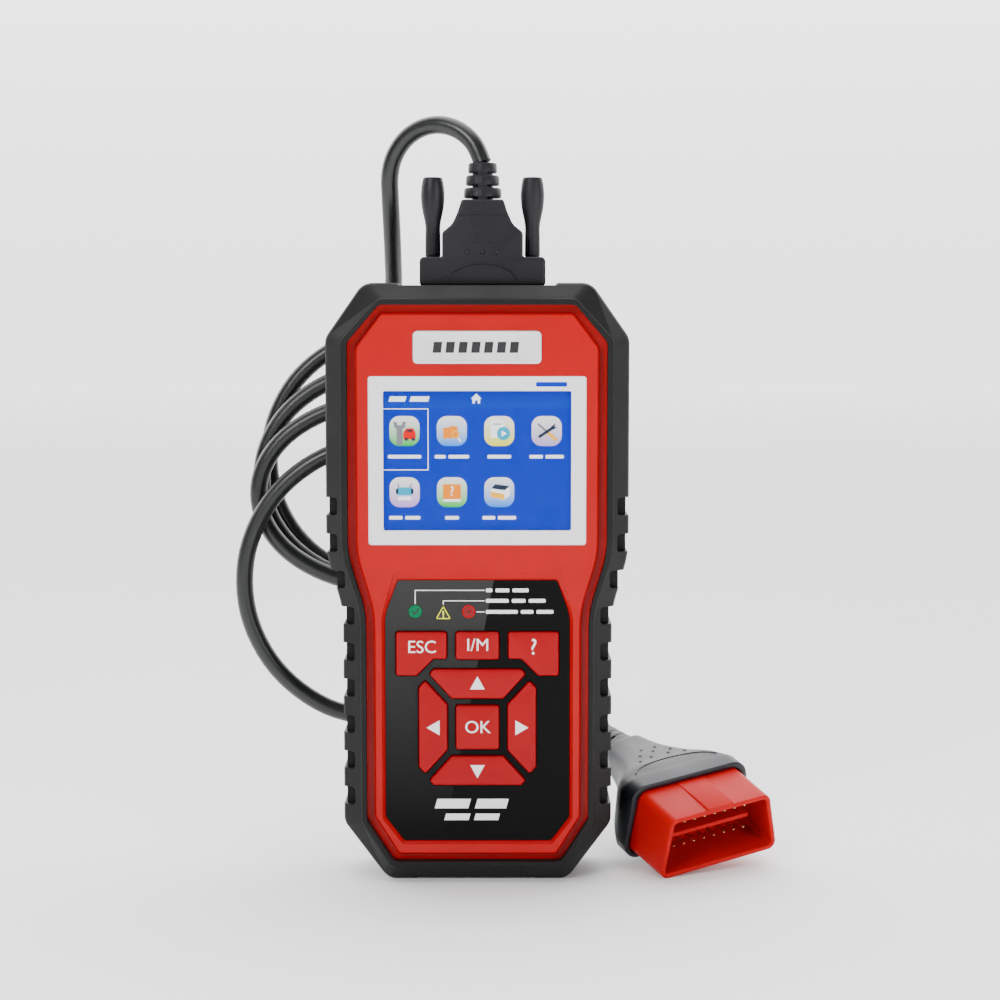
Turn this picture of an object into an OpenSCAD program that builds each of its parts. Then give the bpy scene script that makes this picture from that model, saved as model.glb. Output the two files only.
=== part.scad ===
// Handheld diagnostic code reader with its plug-in cable.
// The reader stands on its foot end: +Z runs up its length, -Y is its front, +X is right.
// The origin is under the middle of the reader, on the surface that it stands on.

/* [Reader body] */
// Half width of the boot round the screen
boot_high = 50.2; // [49.5:0.1:51]
// Half width of the boot round the keys
boot_low = 44.75; // [44:0.05:45.5]
// Height of the boot from the foot to the top edge
boot_top = 199.5; // [198.5:0.5:201]
// Depth of the reader from the lip to the back
reader_depth = 37.5; // [36:0.5:40]
// Thickness of rubber between the boot's outside and the housing
boot_wall = 5; // [4.6:0.1:5.4]
// Thickness of the plastic housings
wall = 2; // [1.6:0.1:2.4]

/* [Grip notches] */
// Number of notches down each side
notch_count = 9; // [6:1:9]
// Height of the lowest notch's middle
notch_first = 28.7; // [27:0.1:30]
// Distance from one notch to the next
notch_pitch = 12.15; // [11.5:0.05:12.2]
// Height of one notch
notch_h = 6; // [4:0.5:7]
// Depth of a notch behind the boot's outline on the front
notch_reach = 4; // [2:0.1:4.2]

/* [Screen] */
// Width of the screen's white border
bezel_w = 71.8; // [70:0.1:73]
// Height of the screen's white border
bezel_h = 55.7; // [54:0.1:57]
// Width of the visible display
display_w = 61.9; // [58:0.1:64]
// Height of the visible display
display_h = 46; // [43:0.1:48]
// Height of the screen's middle above the foot
screen_z = 141.1; // [140:0.1:143]

/* [Keys] */
// Distance that a key travels when it is pressed
key_travel = 1; // [0.5:0.1:1]
// Gap round a key in its hole
key_gap = 0.35; // [0.2:0.05:0.5]
// Height of a key's face above the overlay
key_proud = 1.7; // [1.2:0.1:1.8]

/* [Cable plug on the reader] */
// Sideways place of the plug's middle
plug_x = 1.7; // [0:0.1:3]
// Depth of the plug's middle behind the reader's middle
plug_y = 1; // [0:0.1:2]
// Half width of the plug's base with its ears
ear_half = 20.9; // [20:0.1:21.5]
// Distance from the plug's middle to a thumbscrew
screw_reach = 16.65; // [16.5:0.05:16.8]
// Depth of the plug's hood
hood_depth = 15; // [14:0.5:16]

/* [Cable] */
// Diameter of the cable
cable_d = 6.1; // [5.8:0.1:6.2]
// Distance from one turn of the coil to the next
turn_pitch = 6.4; // [6.3:0.1:6.6]
// Depth of the nearest turn's middle behind the reader's middle
turn_near = 23.6; // [23.5:0.1:25]

/* [Vehicle plug] */
// Width of the nose along its wide side
nose_wide = 47; // [44:0.5:47]
// Width of the nose along its narrow side
nose_narrow = 39; // [36:0.5:40]
// Height of the nose
nose_h = 22; // [20:0.5:22]
// Length of the nose in front of its shell
nose_l = 22; // [20:0.5:24]
// Turn of the plug away from the front
plug_yaw = 28; // [28:1:29]
// Tilt of the nose towards the floor
plug_pitch = 15; // [15:1:15]
// Roll of the nose about its own axis, which lifts its right end
plug_roll = -8; // [-9:1:-8]

/* [Hidden] */

// Depths of the reader's layers along Y, front to back
front_y = -reader_depth / 2;
back_y = reader_depth / 2;
face_y = front_y + 1.55;
overlay_y = front_y + 2.85;
overlay_t = 0.4;
pad_floor_y = overlay_y + overlay_t;
flange_y = front_y + 4.35;
panel_inner_y = front_y + 4.75;
key_front_y = overlay_y - key_proud;
key_flange_y = panel_inner_y + 0.2;
key_flange_t = 0.8;
dome_y = key_flange_y + key_flange_t + 1.3;
mat_t = 0.8;
board_y = -8.5;
board_t = 1.6;
board_back_y = board_y + board_t;
rear_wall_y = back_y - 1.75;
display_y = overlay_y + 0.2;
display_t = 3.5;

// Places of the screws that close the case, as [x, z]
screw_places = [[36.5, 32], [-36.5, 32], [41, 170], [-41, 170]];
screw_post_r = 3;
screw_r = 1.25;
screw_head_r = 2.8;
thread_gap = 0.05;

// Heights of the parts along the plug's axis
hood_z = 198.7;
ear_top_z = 208.2;
collar_z = 227.1;
relief_z = 239.5;
jack_z = 191.6;
jack_h = 5.2;

// The lamps' places on the overlay, as [x, z]
lamp_green_at = [-20.6, 91];
lamp_yellow_at = [-11.3, 90];
lamp_red_at = [-2.9, 91];
lamp_r = 2.2;

// Lengths of the vehicle plug along its axis, and the place of the middle of its mouth
shell_l = 42;
shell_rim = 2;
obd_relief_l = 18;
mouth_at = [82.3, -7, 13];
mouth_depth = 18;
pin_depth = 7;
mouth_wall = 1.7;
pin_pitch = 4;
pin_rows = [-3.9, 4.6];

// ---- Outlines --------------------------------------------------------------------------------

function unit(v) = v / norm(v);
function flat(p) = [p[0], p[1]];

// The arc of radius r that rounds the corner at b, in n steps
function corner_arc(a, b, c, r, n) =
    r <= 0 ? [b] :
    let (u = unit(a - b), v = unit(c - b), half = acos(u * v) / 2,
         centre = b + unit(u + v) * r / sin(half),
         from = b + u * r / tan(half) - centre,
         to = b + v * r / tan(half) - centre,
         start = atan2(from.y, from.x), sweep = atan2(to.y, to.x) - start,
         turn = sweep > 180 ? sweep - 360 : sweep < -180 ? sweep + 360 : sweep)
    [for (i = [0 : n]) centre + r * [cos(start + turn * i / n), sin(start + turn * i / n)]];

// A closed outline from corners [x, y, radius], anticlockwise
function rounded(corners, n = 6) =
    let (k = len(corners))
    [for (i = [0 : k - 1]) each corner_arc(flat(corners[(i + k - 1) % k]), flat(corners[i]),
                                           flat(corners[(i + 1) % k]), corners[i][2], n)];

// Corners of the right half from the bottom up, with their mirror image
function mirrored(half) =
    concat(half, [for (i = [len(half) - 1 : -1 : 0])
        [for (j = [0 : len(half[i]) - 1]) j == 0 ? -half[i][0] : half[i][j]]]);

// An outline moved inwards by d, or outwards when d is negative
function inset(pts, d) =
    let (k = len(pts))
    [for (i = [0 : k - 1])
        let (u = unit(pts[i] - pts[(i + k - 1) % k]), v = unit(pts[(i + 1) % k] - pts[i]))
        pts[i] + d * [-u.y - v.y, u.x + v.x] / (1 + u * v)];

// A rectangle's outline with rounded corners
function box_outline(w, h, r, at = [0, 0]) =
    rounded([[at.x - w / 2, at.y - h / 2, r], [at.x + w / 2, at.y - h / 2, r],
             [at.x + w / 2, at.y + h / 2, r], [at.x - w / 2, at.y + h / 2, r]]);

// The waisted outline's corners, which the boot, the lip and the panel share
function waisted(low, high, bottom, top, foot, crown) =
    mirrored([[foot.x, bottom], [low, foot.y], [low, 91], [high, 110], [high, crown.y],
              [crown.x, top]]);

// Rounds those corners by r, and the four bends of the waist by a wide radius
waist_r = 36;
function softened(corners, r) =
    rounded([for (i = [0 : len(corners) - 1])
        [corners[i].x, corners[i].y, i % 6 == 2 || i % 6 == 3 ? waist_r : r]]);

boot_corners = waisted(boot_low, boot_high, 0, boot_top, [30.1, 19.5], [37.6, 181.4]);
boot_outline = softened(boot_corners, 6);
lip_outer = softened(waisted(38.7, 45, 5.2, 194.4, [28.8, 20.6], [32.3, 180.6]), 4);
lip_inner = softened(waisted(36.9, 42.8, 7.2, 192.3, [27.9, 21.3], [32.3, 180]), 3);
panel_outline = softened(waisted(34.3, 40, 9.4, 189.6, [26.3, 22.2], [31.5, 178.3]), 2);
housing_outline = softened(inset(boot_corners, boot_wall), 3);
cavity_outline = softened(inset(boot_corners, boot_wall + wall), 2);
back_window = softened(inset(boot_corners, boot_wall + 9), 4);
overlay_outline = rounded(mirrored([[24.5, 13.8, 1.5], [30.65, 21.8, 3], [30.65, 90, 16],
                                    [26.4, 101.5, 1]]));
overlay_well = rounded(mirrored([[24.9, 12.8, 1.5], [31.7, 21.4, 3], [31.7, 90, 16],
                                 [27.6, 104.1, 1]]));

// Outlines of the keys, as corners [x, z]
key_r = 0.9;
function key_outline(corners) = rounded([for (c = corners) [c.x, c.y, key_r]], 4);
esc_key = key_outline([[-27, 69.7], [-20.2, 69.7], [-14.6, 75.3], [-10.2, 75.3], [-10.2, 84.3],
                       [-27, 84.3]]);
im_key = key_outline([[-7.2, 75.1], [7.2, 75.1], [7.2, 84.3], [-7.2, 84.3]]);
help_key = key_outline([[10.2, 75.3], [14.6, 75.3], [20.2, 69.7], [27, 69.7], [27, 84.3],
                        [10.2, 84.3]]);
up_key = key_outline([[-8.6, 62], [8.6, 62], [16, 70.2], [14.6, 71.8], [-14.6, 71.8], [-16, 70.2]]);
down_key = key_outline([[-14.6, 32.8], [14.6, 32.8], [16, 34.4], [8.6, 42.6], [-8.6, 42.6],
                        [-16, 34.4]]);
left_key = key_outline([[-17.4, 36.6], [-10, 44.7], [-10, 60], [-17.4, 68], [-19.5, 65.6],
                        [-19.5, 39]]);
right_key = key_outline([[17.4, 36.6], [19.5, 39], [19.5, 65.6], [17.4, 68], [10, 60], [10, 44.7]]);
ok_key = key_outline([[-7.2, 44.9], [7.2, 44.9], [7.2, 59.7], [-7.2, 59.7]]);
keys = [esc_key, im_key, help_key, up_key, left_key, ok_key, right_key, down_key];

// ---- Solids ----------------------------------------------------------------------------------

// A flat shape drawn in X and Z, made solid from y0 back to y1
module slab(y0, y1) {
    translate([0, y1, 0]) rotate([90, 0, 0]) linear_extrude(y1 - y0) children();
}

// A flat outline's points at depth y
function at_y(outline, y) = [for (p = outline) [p.x, y, p.y]];

// A closed skin over rings that have the same number of points, the first ring foremost.
// Each end is a fan about the point that all of its edge can be seen from.
module loft(rings, hub = undef) {
    n = len(rings[0]);
    m = len(rings);
    ends = [for (ring = [rings[0], rings[m - 1]])
        is_undef(hub) ? [for (p = ring) 1] * ring / n : [hub.x, ring[0].y, hub.y]];
    polyhedron(
        points = concat([for (ring = rings) each ring], ends),
        faces = concat(
            [for (i = [0 : n - 1]) [m * n, (i + 1) % n, i]],
            [for (i = [0 : n - 1]) [m * n + 1, (m - 1) * n + i, (m - 1) * n + (i + 1) % n]],
            [for (j = [0 : m - 2], i = [0 : n - 1]) [j * n + i, j * n + (i + 1) % n,
                                                     (j + 1) * n + (i + 1) % n]],
            [for (j = [0 : m - 2], i = [0 : n - 1]) [j * n + i, (j + 1) * n + (i + 1) % n,
                                                     (j + 1) * n + i]]),
        convexity = 8);
}

// One moulded piece, kept at the size that it is drawn
module moulded() {
    resize([0, 0, 0]) children();
}

module along_y(x, z, y0, y1, r, sides = 40) {
    translate([x, y0, z]) rotate([-90, 0, 0]) cylinder(h = y1 - y0, r = r, $fn = sides);
}

// ---- Reader: boot and housings ----------------------------------------------------------------

// Half width of the boot at height z
function boot_side(z) =
    z < 91 ? boot_low : z > 110 ? boot_high : boot_low + (boot_high - boot_low) * (z - 91) / 19;

module grip_notch(z) {
    edge = boot_side(z);
    slab(front_y - 1, front_y + 7.5)
        polygon(rounded([[edge - notch_reach, z - notch_h / 2, 1], [edge + 2, z - notch_h / 2, 0],
                         [edge + 2, z + notch_h / 2, 0], [edge - notch_reach, z + notch_h / 2, 1]]));
    slab(front_y + 7, back_y - 4)
        polygon([[edge - 1, z - notch_h / 2], [edge + 2, z - notch_h / 2 - 0.6],
                 [edge + 2, z + notch_h / 2 + 0.6], [edge - 1, z + notch_h / 2]]);
}

module plug_opening() {
    translate([plug_x - 20.2, plug_y - 7, 188]) cube([40.4, 14, 20]);
}

module rubber_boot() color([0.17, 0.17, 0.17]) moulded() difference() {
    loft([
        at_y(inset(lip_outer, 0.7), front_y),
        at_y(inset(lip_outer, 0.15), front_y + 0.35),
        at_y(lip_outer, front_y + 1.1),
        at_y(inset(lip_outer, -0.3), front_y + 1.35),
        at_y(inset(boot_outline, 0.5), front_y + 5.5),
        at_y(boot_outline, front_y + 6.4),
        at_y(boot_outline, back_y - 2.6),
        at_y(inset(boot_outline, 0.6), back_y - 1.1),
        at_y(inset(boot_outline, 2.2), back_y)
    ], [0, 100]);
    slab(front_y - 1, flange_y) polygon(lip_inner);
    slab(flange_y - 0.01, rear_wall_y) polygon(housing_outline);
    slab(rear_wall_y - 0.01, back_y + 1) polygon(back_window);
    for (i = [0 : notch_count - 1], side = [0, 1])
        mirror([side, 0, 0]) grip_notch(notch_first + notch_pitch * i);
    // shallow steps in the middle of the foot and of the top edge
    translate([-20.4, front_y - 1, -1]) cube([40.8, reader_depth + 2, 1.8]);
    translate([-26.5, front_y - 1, hood_z]) cube([53, reader_depth + 2, 2]);
    plug_opening();
}

module front_housing() color([0.9, 0.08, 0.1]) moulded() difference() {
    union() {
        difference() {
            union() {
                loft([at_y(inset(panel_outline, 0.6), face_y), at_y(panel_outline, face_y + 0.6),
                      at_y(panel_outline, flange_y + 0.2)], [0, 100]);
                slab(flange_y, 0) polygon(housing_outline);
            }
            slab(flange_y + wall, 1) polygon(cavity_outline);
            slab(panel_inner_y, flange_y + wall + 0.1) polygon(inset(panel_outline, 1.5));
        }
        intersection() {
            for (p = screw_places) along_y(p.x, p.y, flange_y + 1, 0, screw_post_r);
            slab(flange_y + 1, 0) polygon(housing_outline);
        }
    }
    for (p = screw_places) along_y(p.x, p.y, -10, 1, screw_r + thread_gap);
    // screen opening with its ledge
    slab(face_y - 1, display_y) polygon(box_outline(bezel_w, bezel_h, 1, [0, screen_z]));
    slab(display_y - 1, panel_inner_y + 1)
        polygon(box_outline(display_w + 4.1, display_h + 4, 0.5, [0, screen_z]));
    // nameplate recess
    slab(face_y - 1, face_y + 0.8) polygon(box_outline(42.4, 11, 1.7, [0, 178.4]));
    // keypad well with its sloped wall
    loft([at_y(overlay_well, face_y - 1), at_y(overlay_well, face_y + 0.2),
          at_y(overlay_outline, pad_floor_y)], [0, 60]);
    for (k = keys) slab(pad_floor_y - 1, panel_inner_y + 1) polygon(inset(k, -key_gap));
    for (p = [lamp_green_at, lamp_red_at])
        along_y(p.x, p.y, pad_floor_y - 1, panel_inner_y + 1, lamp_r + 0.1);
    slab(pad_floor_y - 1, panel_inner_y + 1) polygon(lamp_triangle(0.1));
    plug_opening();
}

module rear_housing() color([0.14, 0.14, 0.15]) moulded() difference() {
    union() {
        difference() {
            slab(0, rear_wall_y) polygon(housing_outline);
            slab(-1, rear_wall_y - wall) polygon(cavity_outline);
        }
        intersection() {
            for (p = screw_places) along_y(p.x, p.y, 0, rear_wall_y - 1, screw_post_r + 0.9);
            slab(0, rear_wall_y) polygon(housing_outline);
        }
    }
    for (p = screw_places) {
        along_y(p.x, p.y, -1, rear_wall_y + 1, screw_r + 0.3);
        along_y(p.x, p.y, rear_wall_y - 3, rear_wall_y + 1, screw_head_r + 0.3);
    }
    // recess for the blank rating label
    slab(rear_wall_y - 0.4, rear_wall_y + 1) polygon(box_outline(54, 70, 2, [0, 105]));
    plug_opening();
}

module case_screws() color([0.65, 0.65, 0.66]) for (p = screw_places) difference() {
    union() {
        along_y(p.x, p.y, -9, rear_wall_y - 3, screw_r);
        along_y(p.x, p.y, rear_wall_y - 3, rear_wall_y - 1, screw_head_r);
    }
    for (a = [0, 90]) translate([p.x, rear_wall_y - 1.4, p.y]) rotate([0, a, 0])
        cube([3.4, 2, 0.7], center = true);
}

module nameplate() color([0.93, 0.93, 0.95])
    slab(face_y - 0.3, face_y + 0.8) polygon(box_outline(42.2, 10.8, 1.6, [0, 178.4]));

// ---- Reader: screen ---------------------------------------------------------------------------

module screen_bezel() color([0.95, 0.95, 0.95]) difference() {
    slab(face_y + 0.2, display_y) polygon(box_outline(bezel_w, bezel_h, 1, [0, screen_z]));
    slab(face_y - 1, display_y + 1) polygon(box_outline(display_w, display_h, 0.6, [0, screen_z]));
}

module screen_lens() color([0.7, 0.85, 1, 0.35])
    slab(display_y - 0.8, display_y)
        polygon(box_outline(display_w, display_h, 0.6, [0, screen_z]));

module display_panel() color([0, 0.3, 1])
    slab(display_y, display_y + display_t)
        polygon(box_outline(display_w + 4, display_h + 3.8, 0.4, [0, screen_z]));

module display_backlight() color([0.85, 0.85, 0.85])
    slab(display_y + display_t, display_y + display_t + 1.6)
        polygon(box_outline(display_w + 4, display_h + 6, 0.6, [0, screen_z]));

// Ribbon from the foot of the display, folded back to the board
module display_ribbon() color([0.75, 0.5, 0.15]) {
    top_y = display_y + display_t + 1.6;
    foot = screen_z - display_h / 2 - 3;
    translate([-9, top_y, foot + 1]) cube([18, 0.3, 9]);
    translate([-9, top_y, foot + 0.7]) cube([18, board_y - top_y, 0.3]);
    translate([-9, board_y - 0.3, foot + 1]) cube([18, 0.3, 7]);
}

// ---- Reader: keypad ---------------------------------------------------------------------------

// The yellow lamp's triangle, grown by g
function lamp_triangle(g) =
    let (r = 2.9 + 2 * g) [for (a = [-30, 90, 210]) lamp_yellow_at + r * [cos(a), sin(a)]];

module keypad_overlay() color([0.08, 0.08, 0.08]) moulded() difference() {
    slab(overlay_y, pad_floor_y) polygon(inset(overlay_outline, 0.05));
    for (k = keys) slab(overlay_y - 1, pad_floor_y + 1) polygon(inset(k, -key_gap));
    for (p = [lamp_green_at, lamp_red_at])
        along_y(p.x, p.y, overlay_y - 1, pad_floor_y + 1, lamp_r + 0.1);
    slab(overlay_y - 1, pad_floor_y + 1) polygon(lamp_triangle(0.1));
}

module keypad_mat() color([0.75, 0.75, 0.72]) moulded() {
    slab(board_y - mat_t, board_y) polygon(box_outline(60, 58, 3, [0, 58.5]));
    for (k = keys) slab(dome_y, board_y - mat_t + 0.01) polygon(inset(k, 0.8));
}

module key_cap(outline) color([0.88, 0.06, 0.12]) {
    loft([
        at_y(inset(outline, 0.85), key_front_y),
        at_y(inset(outline, 0.3), key_front_y + 0.15),
        at_y(outline, key_front_y + 0.7),
        at_y(outline, key_flange_y + 0.01)
    ]);
    slab(key_flange_y, key_flange_y + key_flange_t) polygon(inset(outline, -0.8));
}
module key_esc() key_cap(esc_key);
module key_im() key_cap(im_key);
module key_help() key_cap(help_key);
module key_up() key_cap(up_key);
module key_left() key_cap(left_key);
module key_ok() key_cap(ok_key);
module key_right() key_cap(right_key);
module key_down() key_cap(down_key);

module lamp_pipe(at) along_y(at.x, at.y, overlay_y - 0.1, board_y - 1.2, lamp_r);
module lamp_green() color([0, 0.5, 0.3]) lamp_pipe(lamp_green_at);
module lamp_red() color([0.6, 0.05, 0.08]) lamp_pipe(lamp_red_at);
module lamp_yellow() color([0.9, 0.9, 0.2])
    slab(overlay_y - 0.1, board_y - 1.2) polygon(lamp_triangle(0));

// ---- Reader: electronics ----------------------------------------------------------------------

module main_board() color([0.05, 0.35, 0.2])
    slab(board_y, board_back_y)
        polygon(rounded(mirrored([[24, 14, 2], [32.5, 24, 2], [32.5, 186, 2]])));

// A part on the back of the board, by its place [x, z] and its size [x, y, z]
module on_board(at, size) {
    translate([at.x - size.x / 2, board_back_y, at.y - size.z / 2]) cube(size);
}

module processor_chips() color([0.12, 0.12, 0.12]) {
    on_board([0, 120], [20, 1.4, 20]);
    on_board([18, 92], [10, 1.2, 14]);
    on_board([-19, 92], [8, 1.2, 5]);
    on_board([-19, 152], [13, 1.2, 9]);
}

module board_capacitors() color([0.3, 0.3, 0.34])
    for (p = [[-24, 168], [-12, 168], [22, 150], [22, 138]])
        along_y(p.x, p.y, board_back_y, board_back_y + 7, 3.15);

module crystal() color([0.75, 0.75, 0.76])
    slab(board_back_y, board_back_y + 3.5) polygon(box_outline(11, 4.6, 2.2, [0, 103]));

module beeper() color([0.1, 0.1, 0.1]) difference() {
    along_y(-14, 62, board_back_y, board_back_y + 8, 6);
    along_y(-14, 62, board_back_y + 6, board_back_y + 9, 1);
}

module status_leds() color([0.95, 0.95, 0.85])
    for (p = [lamp_green_at, lamp_yellow_at, lamp_red_at])
        translate([p.x - 1.2, board_y - 0.9, p.y - 0.8]) cube([2.4, 0.9, 1.6]);

// ---- Cable plug on the reader -----------------------------------------------------------------

// The 15 way shape's outline about the plug's middle, drawn in X and Y
function dee(w, h) = rounded([[-w / 2 + 1.2, -h / 2, 1.5], [w / 2 - 1.2, -h / 2, 1.5],
                              [w / 2, h / 2, 1.5], [-w / 2, h / 2, 1.5]]);

module at_plug(z) translate([plug_x, plug_y, z]) children();

module board_socket() color([0.1, 0.1, 0.11]) difference() {
    union() {
        translate([plug_x - 15, board_back_y, 182]) cube([30, plug_y + 5 - board_back_y, jack_z - 183]);
        translate([plug_x - 19.6, plug_y - 6.2, jack_z - 1]) cube([39.2, 12.4, 1]);
        at_plug(jack_z - 0.01) linear_extrude(6) polygon(dee(24.6, 8.2));
    }
    for (s = [-1, 1]) at_plug(jack_z - 2) translate([s * screw_reach, 0, 0])
        cylinder(h = 3, r = 1.6, $fn = 32);
    at_plug(jack_z + 1) linear_extrude(7) polygon(dee(22.4, 5.6));
}

module socket_jack_nuts() color([0.72, 0.72, 0.7])
    for (s = [-1, 1]) at_plug(jack_z) translate([s * screw_reach, 0, 0]) difference() {
        cylinder(h = jack_h, r = 2.7, $fn = 6);
        translate([0, 0, -1]) cylinder(h = jack_h + 2, r = 1.5, $fn = 32);
    }

module plug_metal_shell() color([0.75, 0.75, 0.73]) difference() {
    at_plug(jack_z + 0.8) linear_extrude(9.4) polygon(dee(26.4, 9.8));
    at_plug(jack_z) linear_extrude(11) polygon(dee(25.2, 8.6));
}

module plug_insert() color([0.1, 0.1, 0.12])
    at_plug(hood_z + 0.2) linear_extrude(2.6) polygon(dee(25.1, 8.5));

module plug_pins() color([0.85, 0.7, 0.3])
    for (row = [0, 1], i = [0 : 7 - row])
        at_plug(jack_z + 1.6) translate([(i - (7 - row) / 2) * 2.75, 1.4 - 2.8 * row, 0])
            cylinder(h = hood_z + 0.2 - jack_z - 1.6, r = 0.5, $fn = 16);

hood_outline = rounded([for (c = mirrored([
    [ear_half, hood_z, 1], [ear_half, ear_top_z, 1.6], [13.4, ear_top_z, 0.6], [13.4, 216.2, 1.8],
    [10, 219, 5], [8.2, 223, 2], [6.9, collar_z, 1.1]])) [c[0] + plug_x, c[1], c[2]]], 4);

module cable_plug_hood() color([0.16, 0.15, 0.17]) difference() {
    moulded() {
        loft([
            at_y(inset(hood_outline, 0.8), plug_y - hood_depth / 2),
            at_y(inset(hood_outline, 0.2), plug_y - hood_depth / 2 + 0.3),
            at_y(hood_outline, plug_y - hood_depth / 2 + 1),
            at_y(hood_outline, plug_y + hood_depth / 2 - 1),
            at_y(inset(hood_outline, 0.2), plug_y + hood_depth / 2 - 0.3),
            at_y(inset(hood_outline, 0.8), plug_y + hood_depth / 2)
        ], [plug_x, 206]);
        // five grip dots on the front
        for (p = [[-2.5, 213.7], [2.5, 213.7], [-5, 209.7], [0, 209.7], [5, 209.7]])
            along_y(plug_x + p.x, p.y, plug_y - hood_depth / 2 - 0.4, plug_y, 0.85, 20);
    }
    for (s = [-1, 1]) at_plug(hood_z - 1) translate([s * screw_reach, 0, 0])
        cylinder(h = ear_top_z - hood_z + 2, r = 1.5, $fn = 32);
    at_plug(hood_z - 1) linear_extrude(4.1) polygon(dee(26.5, 9.9));
}

module thumbscrew(s) color([0.15, 0.15, 0.16]) at_plug(0) translate([s * screw_reach, 0, 0])
    difference() {
        rotate_extrude($fn = 48) polygon([
            [0, 192.2], [1.1, 192.2], [1.42, 192.6], [1.42, ear_top_z + 0.1], [2.3, ear_top_z + 0.1],
            [2.55, ear_top_z + 0.4], [2.5, 215.4], [2.45, 217.6], [2.6, 219.4], [3.1, 222],
            [3.6, 224.6], [3.9, 227.2], [3.95, 229.2], [3.75, 231.6], [3.35, 234], [3.05, 234.7],
            [0, 234.7]]);
        translate([0, 0, 234.7]) cube([7, 1.1, 2.4], center = true);
    }
module left_thumbscrew() thumbscrew(-1);
module right_thumbscrew() thumbscrew(1);

// A finned strain relief along +Z from 0: its rings narrow away from the plug
module finned_relief(length, fins, core_r) {
    fin = length / len(fins);
    cylinder(h = length, r = core_r, $fn = 40);
    for (i = [0 : len(fins) - 1]) translate([0, 0, fin * i + 0.18 * fin])
        cylinder(h = fin * 0.8, r = fins[i] / 2, $fn = 40);
    for (i = [0 : len(fins) - 1], a = [0, 180]) rotate([0, 0, a])
        translate([-1.5, 0, fin * i]) cube([3, fins[i] / 2 - 0.2, fin]);
}

module cable_strain_relief() color([0.16, 0.15, 0.17])
    at_plug(collar_z) finned_relief(relief_z - collar_z, [12.6, 11.3, 9.7], 3.45);

// ---- Cable -------------------------------------------------------------------------------------

// Arch over the top edge and down behind the reader, as [x, y, z]
lead_route = [
    [1.7, 1, 239.5], [-1.2, 2.4, 245.9], [-6.1, 4.8, 250.5], [-12.3, 7.8, 252.7], [-18.7, 10.9, 252],
    [-24.4, 13.6, 248.6], [-28.4, 15.6, 243], [-30.1, 17.1, 236.4], [-30.1, 19.5, 228.5],
    [-29.9, 24.5, 219], [-29.9, 32, 209], [-30.3, 41.5, 199], [-32.5, 48.9, 187.5], [-37, 50.1, 172],
    [-42.3, 50.2, 155], [-45.8, 49.7, 138.5], [-47, 49.3, 123.5], [-46.6, 49.2, 111.4],
    [-43, 49.2, 100.6]
];
// The turns: the middle's X, each turn's highest and lowest point and its reach to the left
turn_x = -31.5;
turn_tops = [182, 170, 159, 145];
turn_bottoms = [94, 93.5, 94, 47];
turn_reaches = [43.5, 45.5, 46, 50.5];
turn_right = 45;
first_bottom = 94;
half_steps = 7;
function turn_y(k) = turn_near + turn_pitch * (len(turn_tops) - 1 - k);
function ease(t) = t * t * (3 - 2 * t);
function bottom_of(k) = k < 0 ? first_bottom : turn_bottoms[k];

// The right half of a turn rises from the bottom of turn k to the top of turn k + 1
function rising(k) =
    let (low = bottom_of(k), high = turn_tops[k + 1])
    [for (i = [0 : half_steps - 1]) let (t = i / half_steps, a = 180 * t - 90)
        [turn_x + turn_right * cos(a), turn_y(k) - turn_pitch * ease(t),
         (low + high) / 2 + (high - low) / 2 * sin(a)]];

// The left half of turn k falls from its top to its bottom at one depth
function falling(k) =
    let (low = turn_bottoms[k], high = turn_tops[k])
    [for (i = [0 : half_steps - 1]) let (a = 90 + 180 * i / half_steps)
        [turn_x + turn_reaches[k] * cos(a), turn_y(k), (low + high) / 2 + (high - low) / 2 * sin(a)]];

coil_route = [for (k = [0 : len(turn_tops) - 1]) each concat(rising(k - 1), falling(k))];

// From the last turn's foot to the vehicle plug
tail_route = [
    [-31.5, 23.6, 47], [-22.5, 25.5, 46.6], [-14.5, 31.5, 45.8], [-9, 40.5, 45], [-5.2, 50.5, 44.2],
    [-1, 60.5, 43.4], [4.5, 70, 42.5], [11.1, 77.5, 41.7], [18.2, 81.9, 41], [26.6, 82.4, 40.2],
    [34.1, 79.2, 39.2]
];

// A point in the vehicle plug's own frame, moved to its place in the model
function plug_point(y) = mouth_at + y * [-sin(plug_yaw) * cos(plug_pitch),
                                         cos(plug_yaw) * cos(plug_pitch), sin(plug_pitch)];
obd_length = nose_l + shell_l + obd_relief_l;
plug_end = [plug_point(obd_length + 12), plug_point(obd_length + 6), plug_point(obd_length)];
route = concat(lead_route, coil_route, tail_route, plug_end);

function heading(i) = unit(route[min(i + 1, len(route) - 1)] - route[max(i - 1, 0)]);
function end_heading(i) =
    i == 0 ? [0, 0, 1] : i == len(route) - 1 ? unit(plug_end[2] - plug_end[1]) : heading(i);
cable_sides = 8;
function cable_ring(i) =
    let (t = end_heading(i), u = unit(cross(t, [0, 1, 0])), v = cross(u, t))
    [for (a = [0 : cable_sides - 1])
        route[i] + cable_d / 2 * (u * cos(360 * a / cable_sides) + v * sin(360 * a / cable_sides))];

// The cable from point a to point b of the route
module cable_run(a, b) color([0.12, 0.12, 0.12]) loft([for (i = [a : b]) cable_ring(i)]);

lead_end = len(lead_route);
coil_end = len(lead_route) + len(coil_route);
module cable_lead() cable_run(0, lead_end);
module cable_coil() cable_run(lead_end, coil_end);
module cable_tail() cable_run(coil_end, len(route) - 1);

// Strap round the turns, behind the reader
tie_x = 11.6;
tie_y = 36.6;
tie_z = 119.5;
tie_h = 10;
module cable_tie() color([0.1, 0.1, 0.1]) translate([tie_x, tie_y, tie_z]) linear_extrude(tie_h) difference() {
    polygon(box_outline(14.8, 31.2, 3.9));
    polygon(box_outline(12.2, 28.6, 2.6));
}

// ---- Vehicle plug ------------------------------------------------------------------------------

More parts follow.
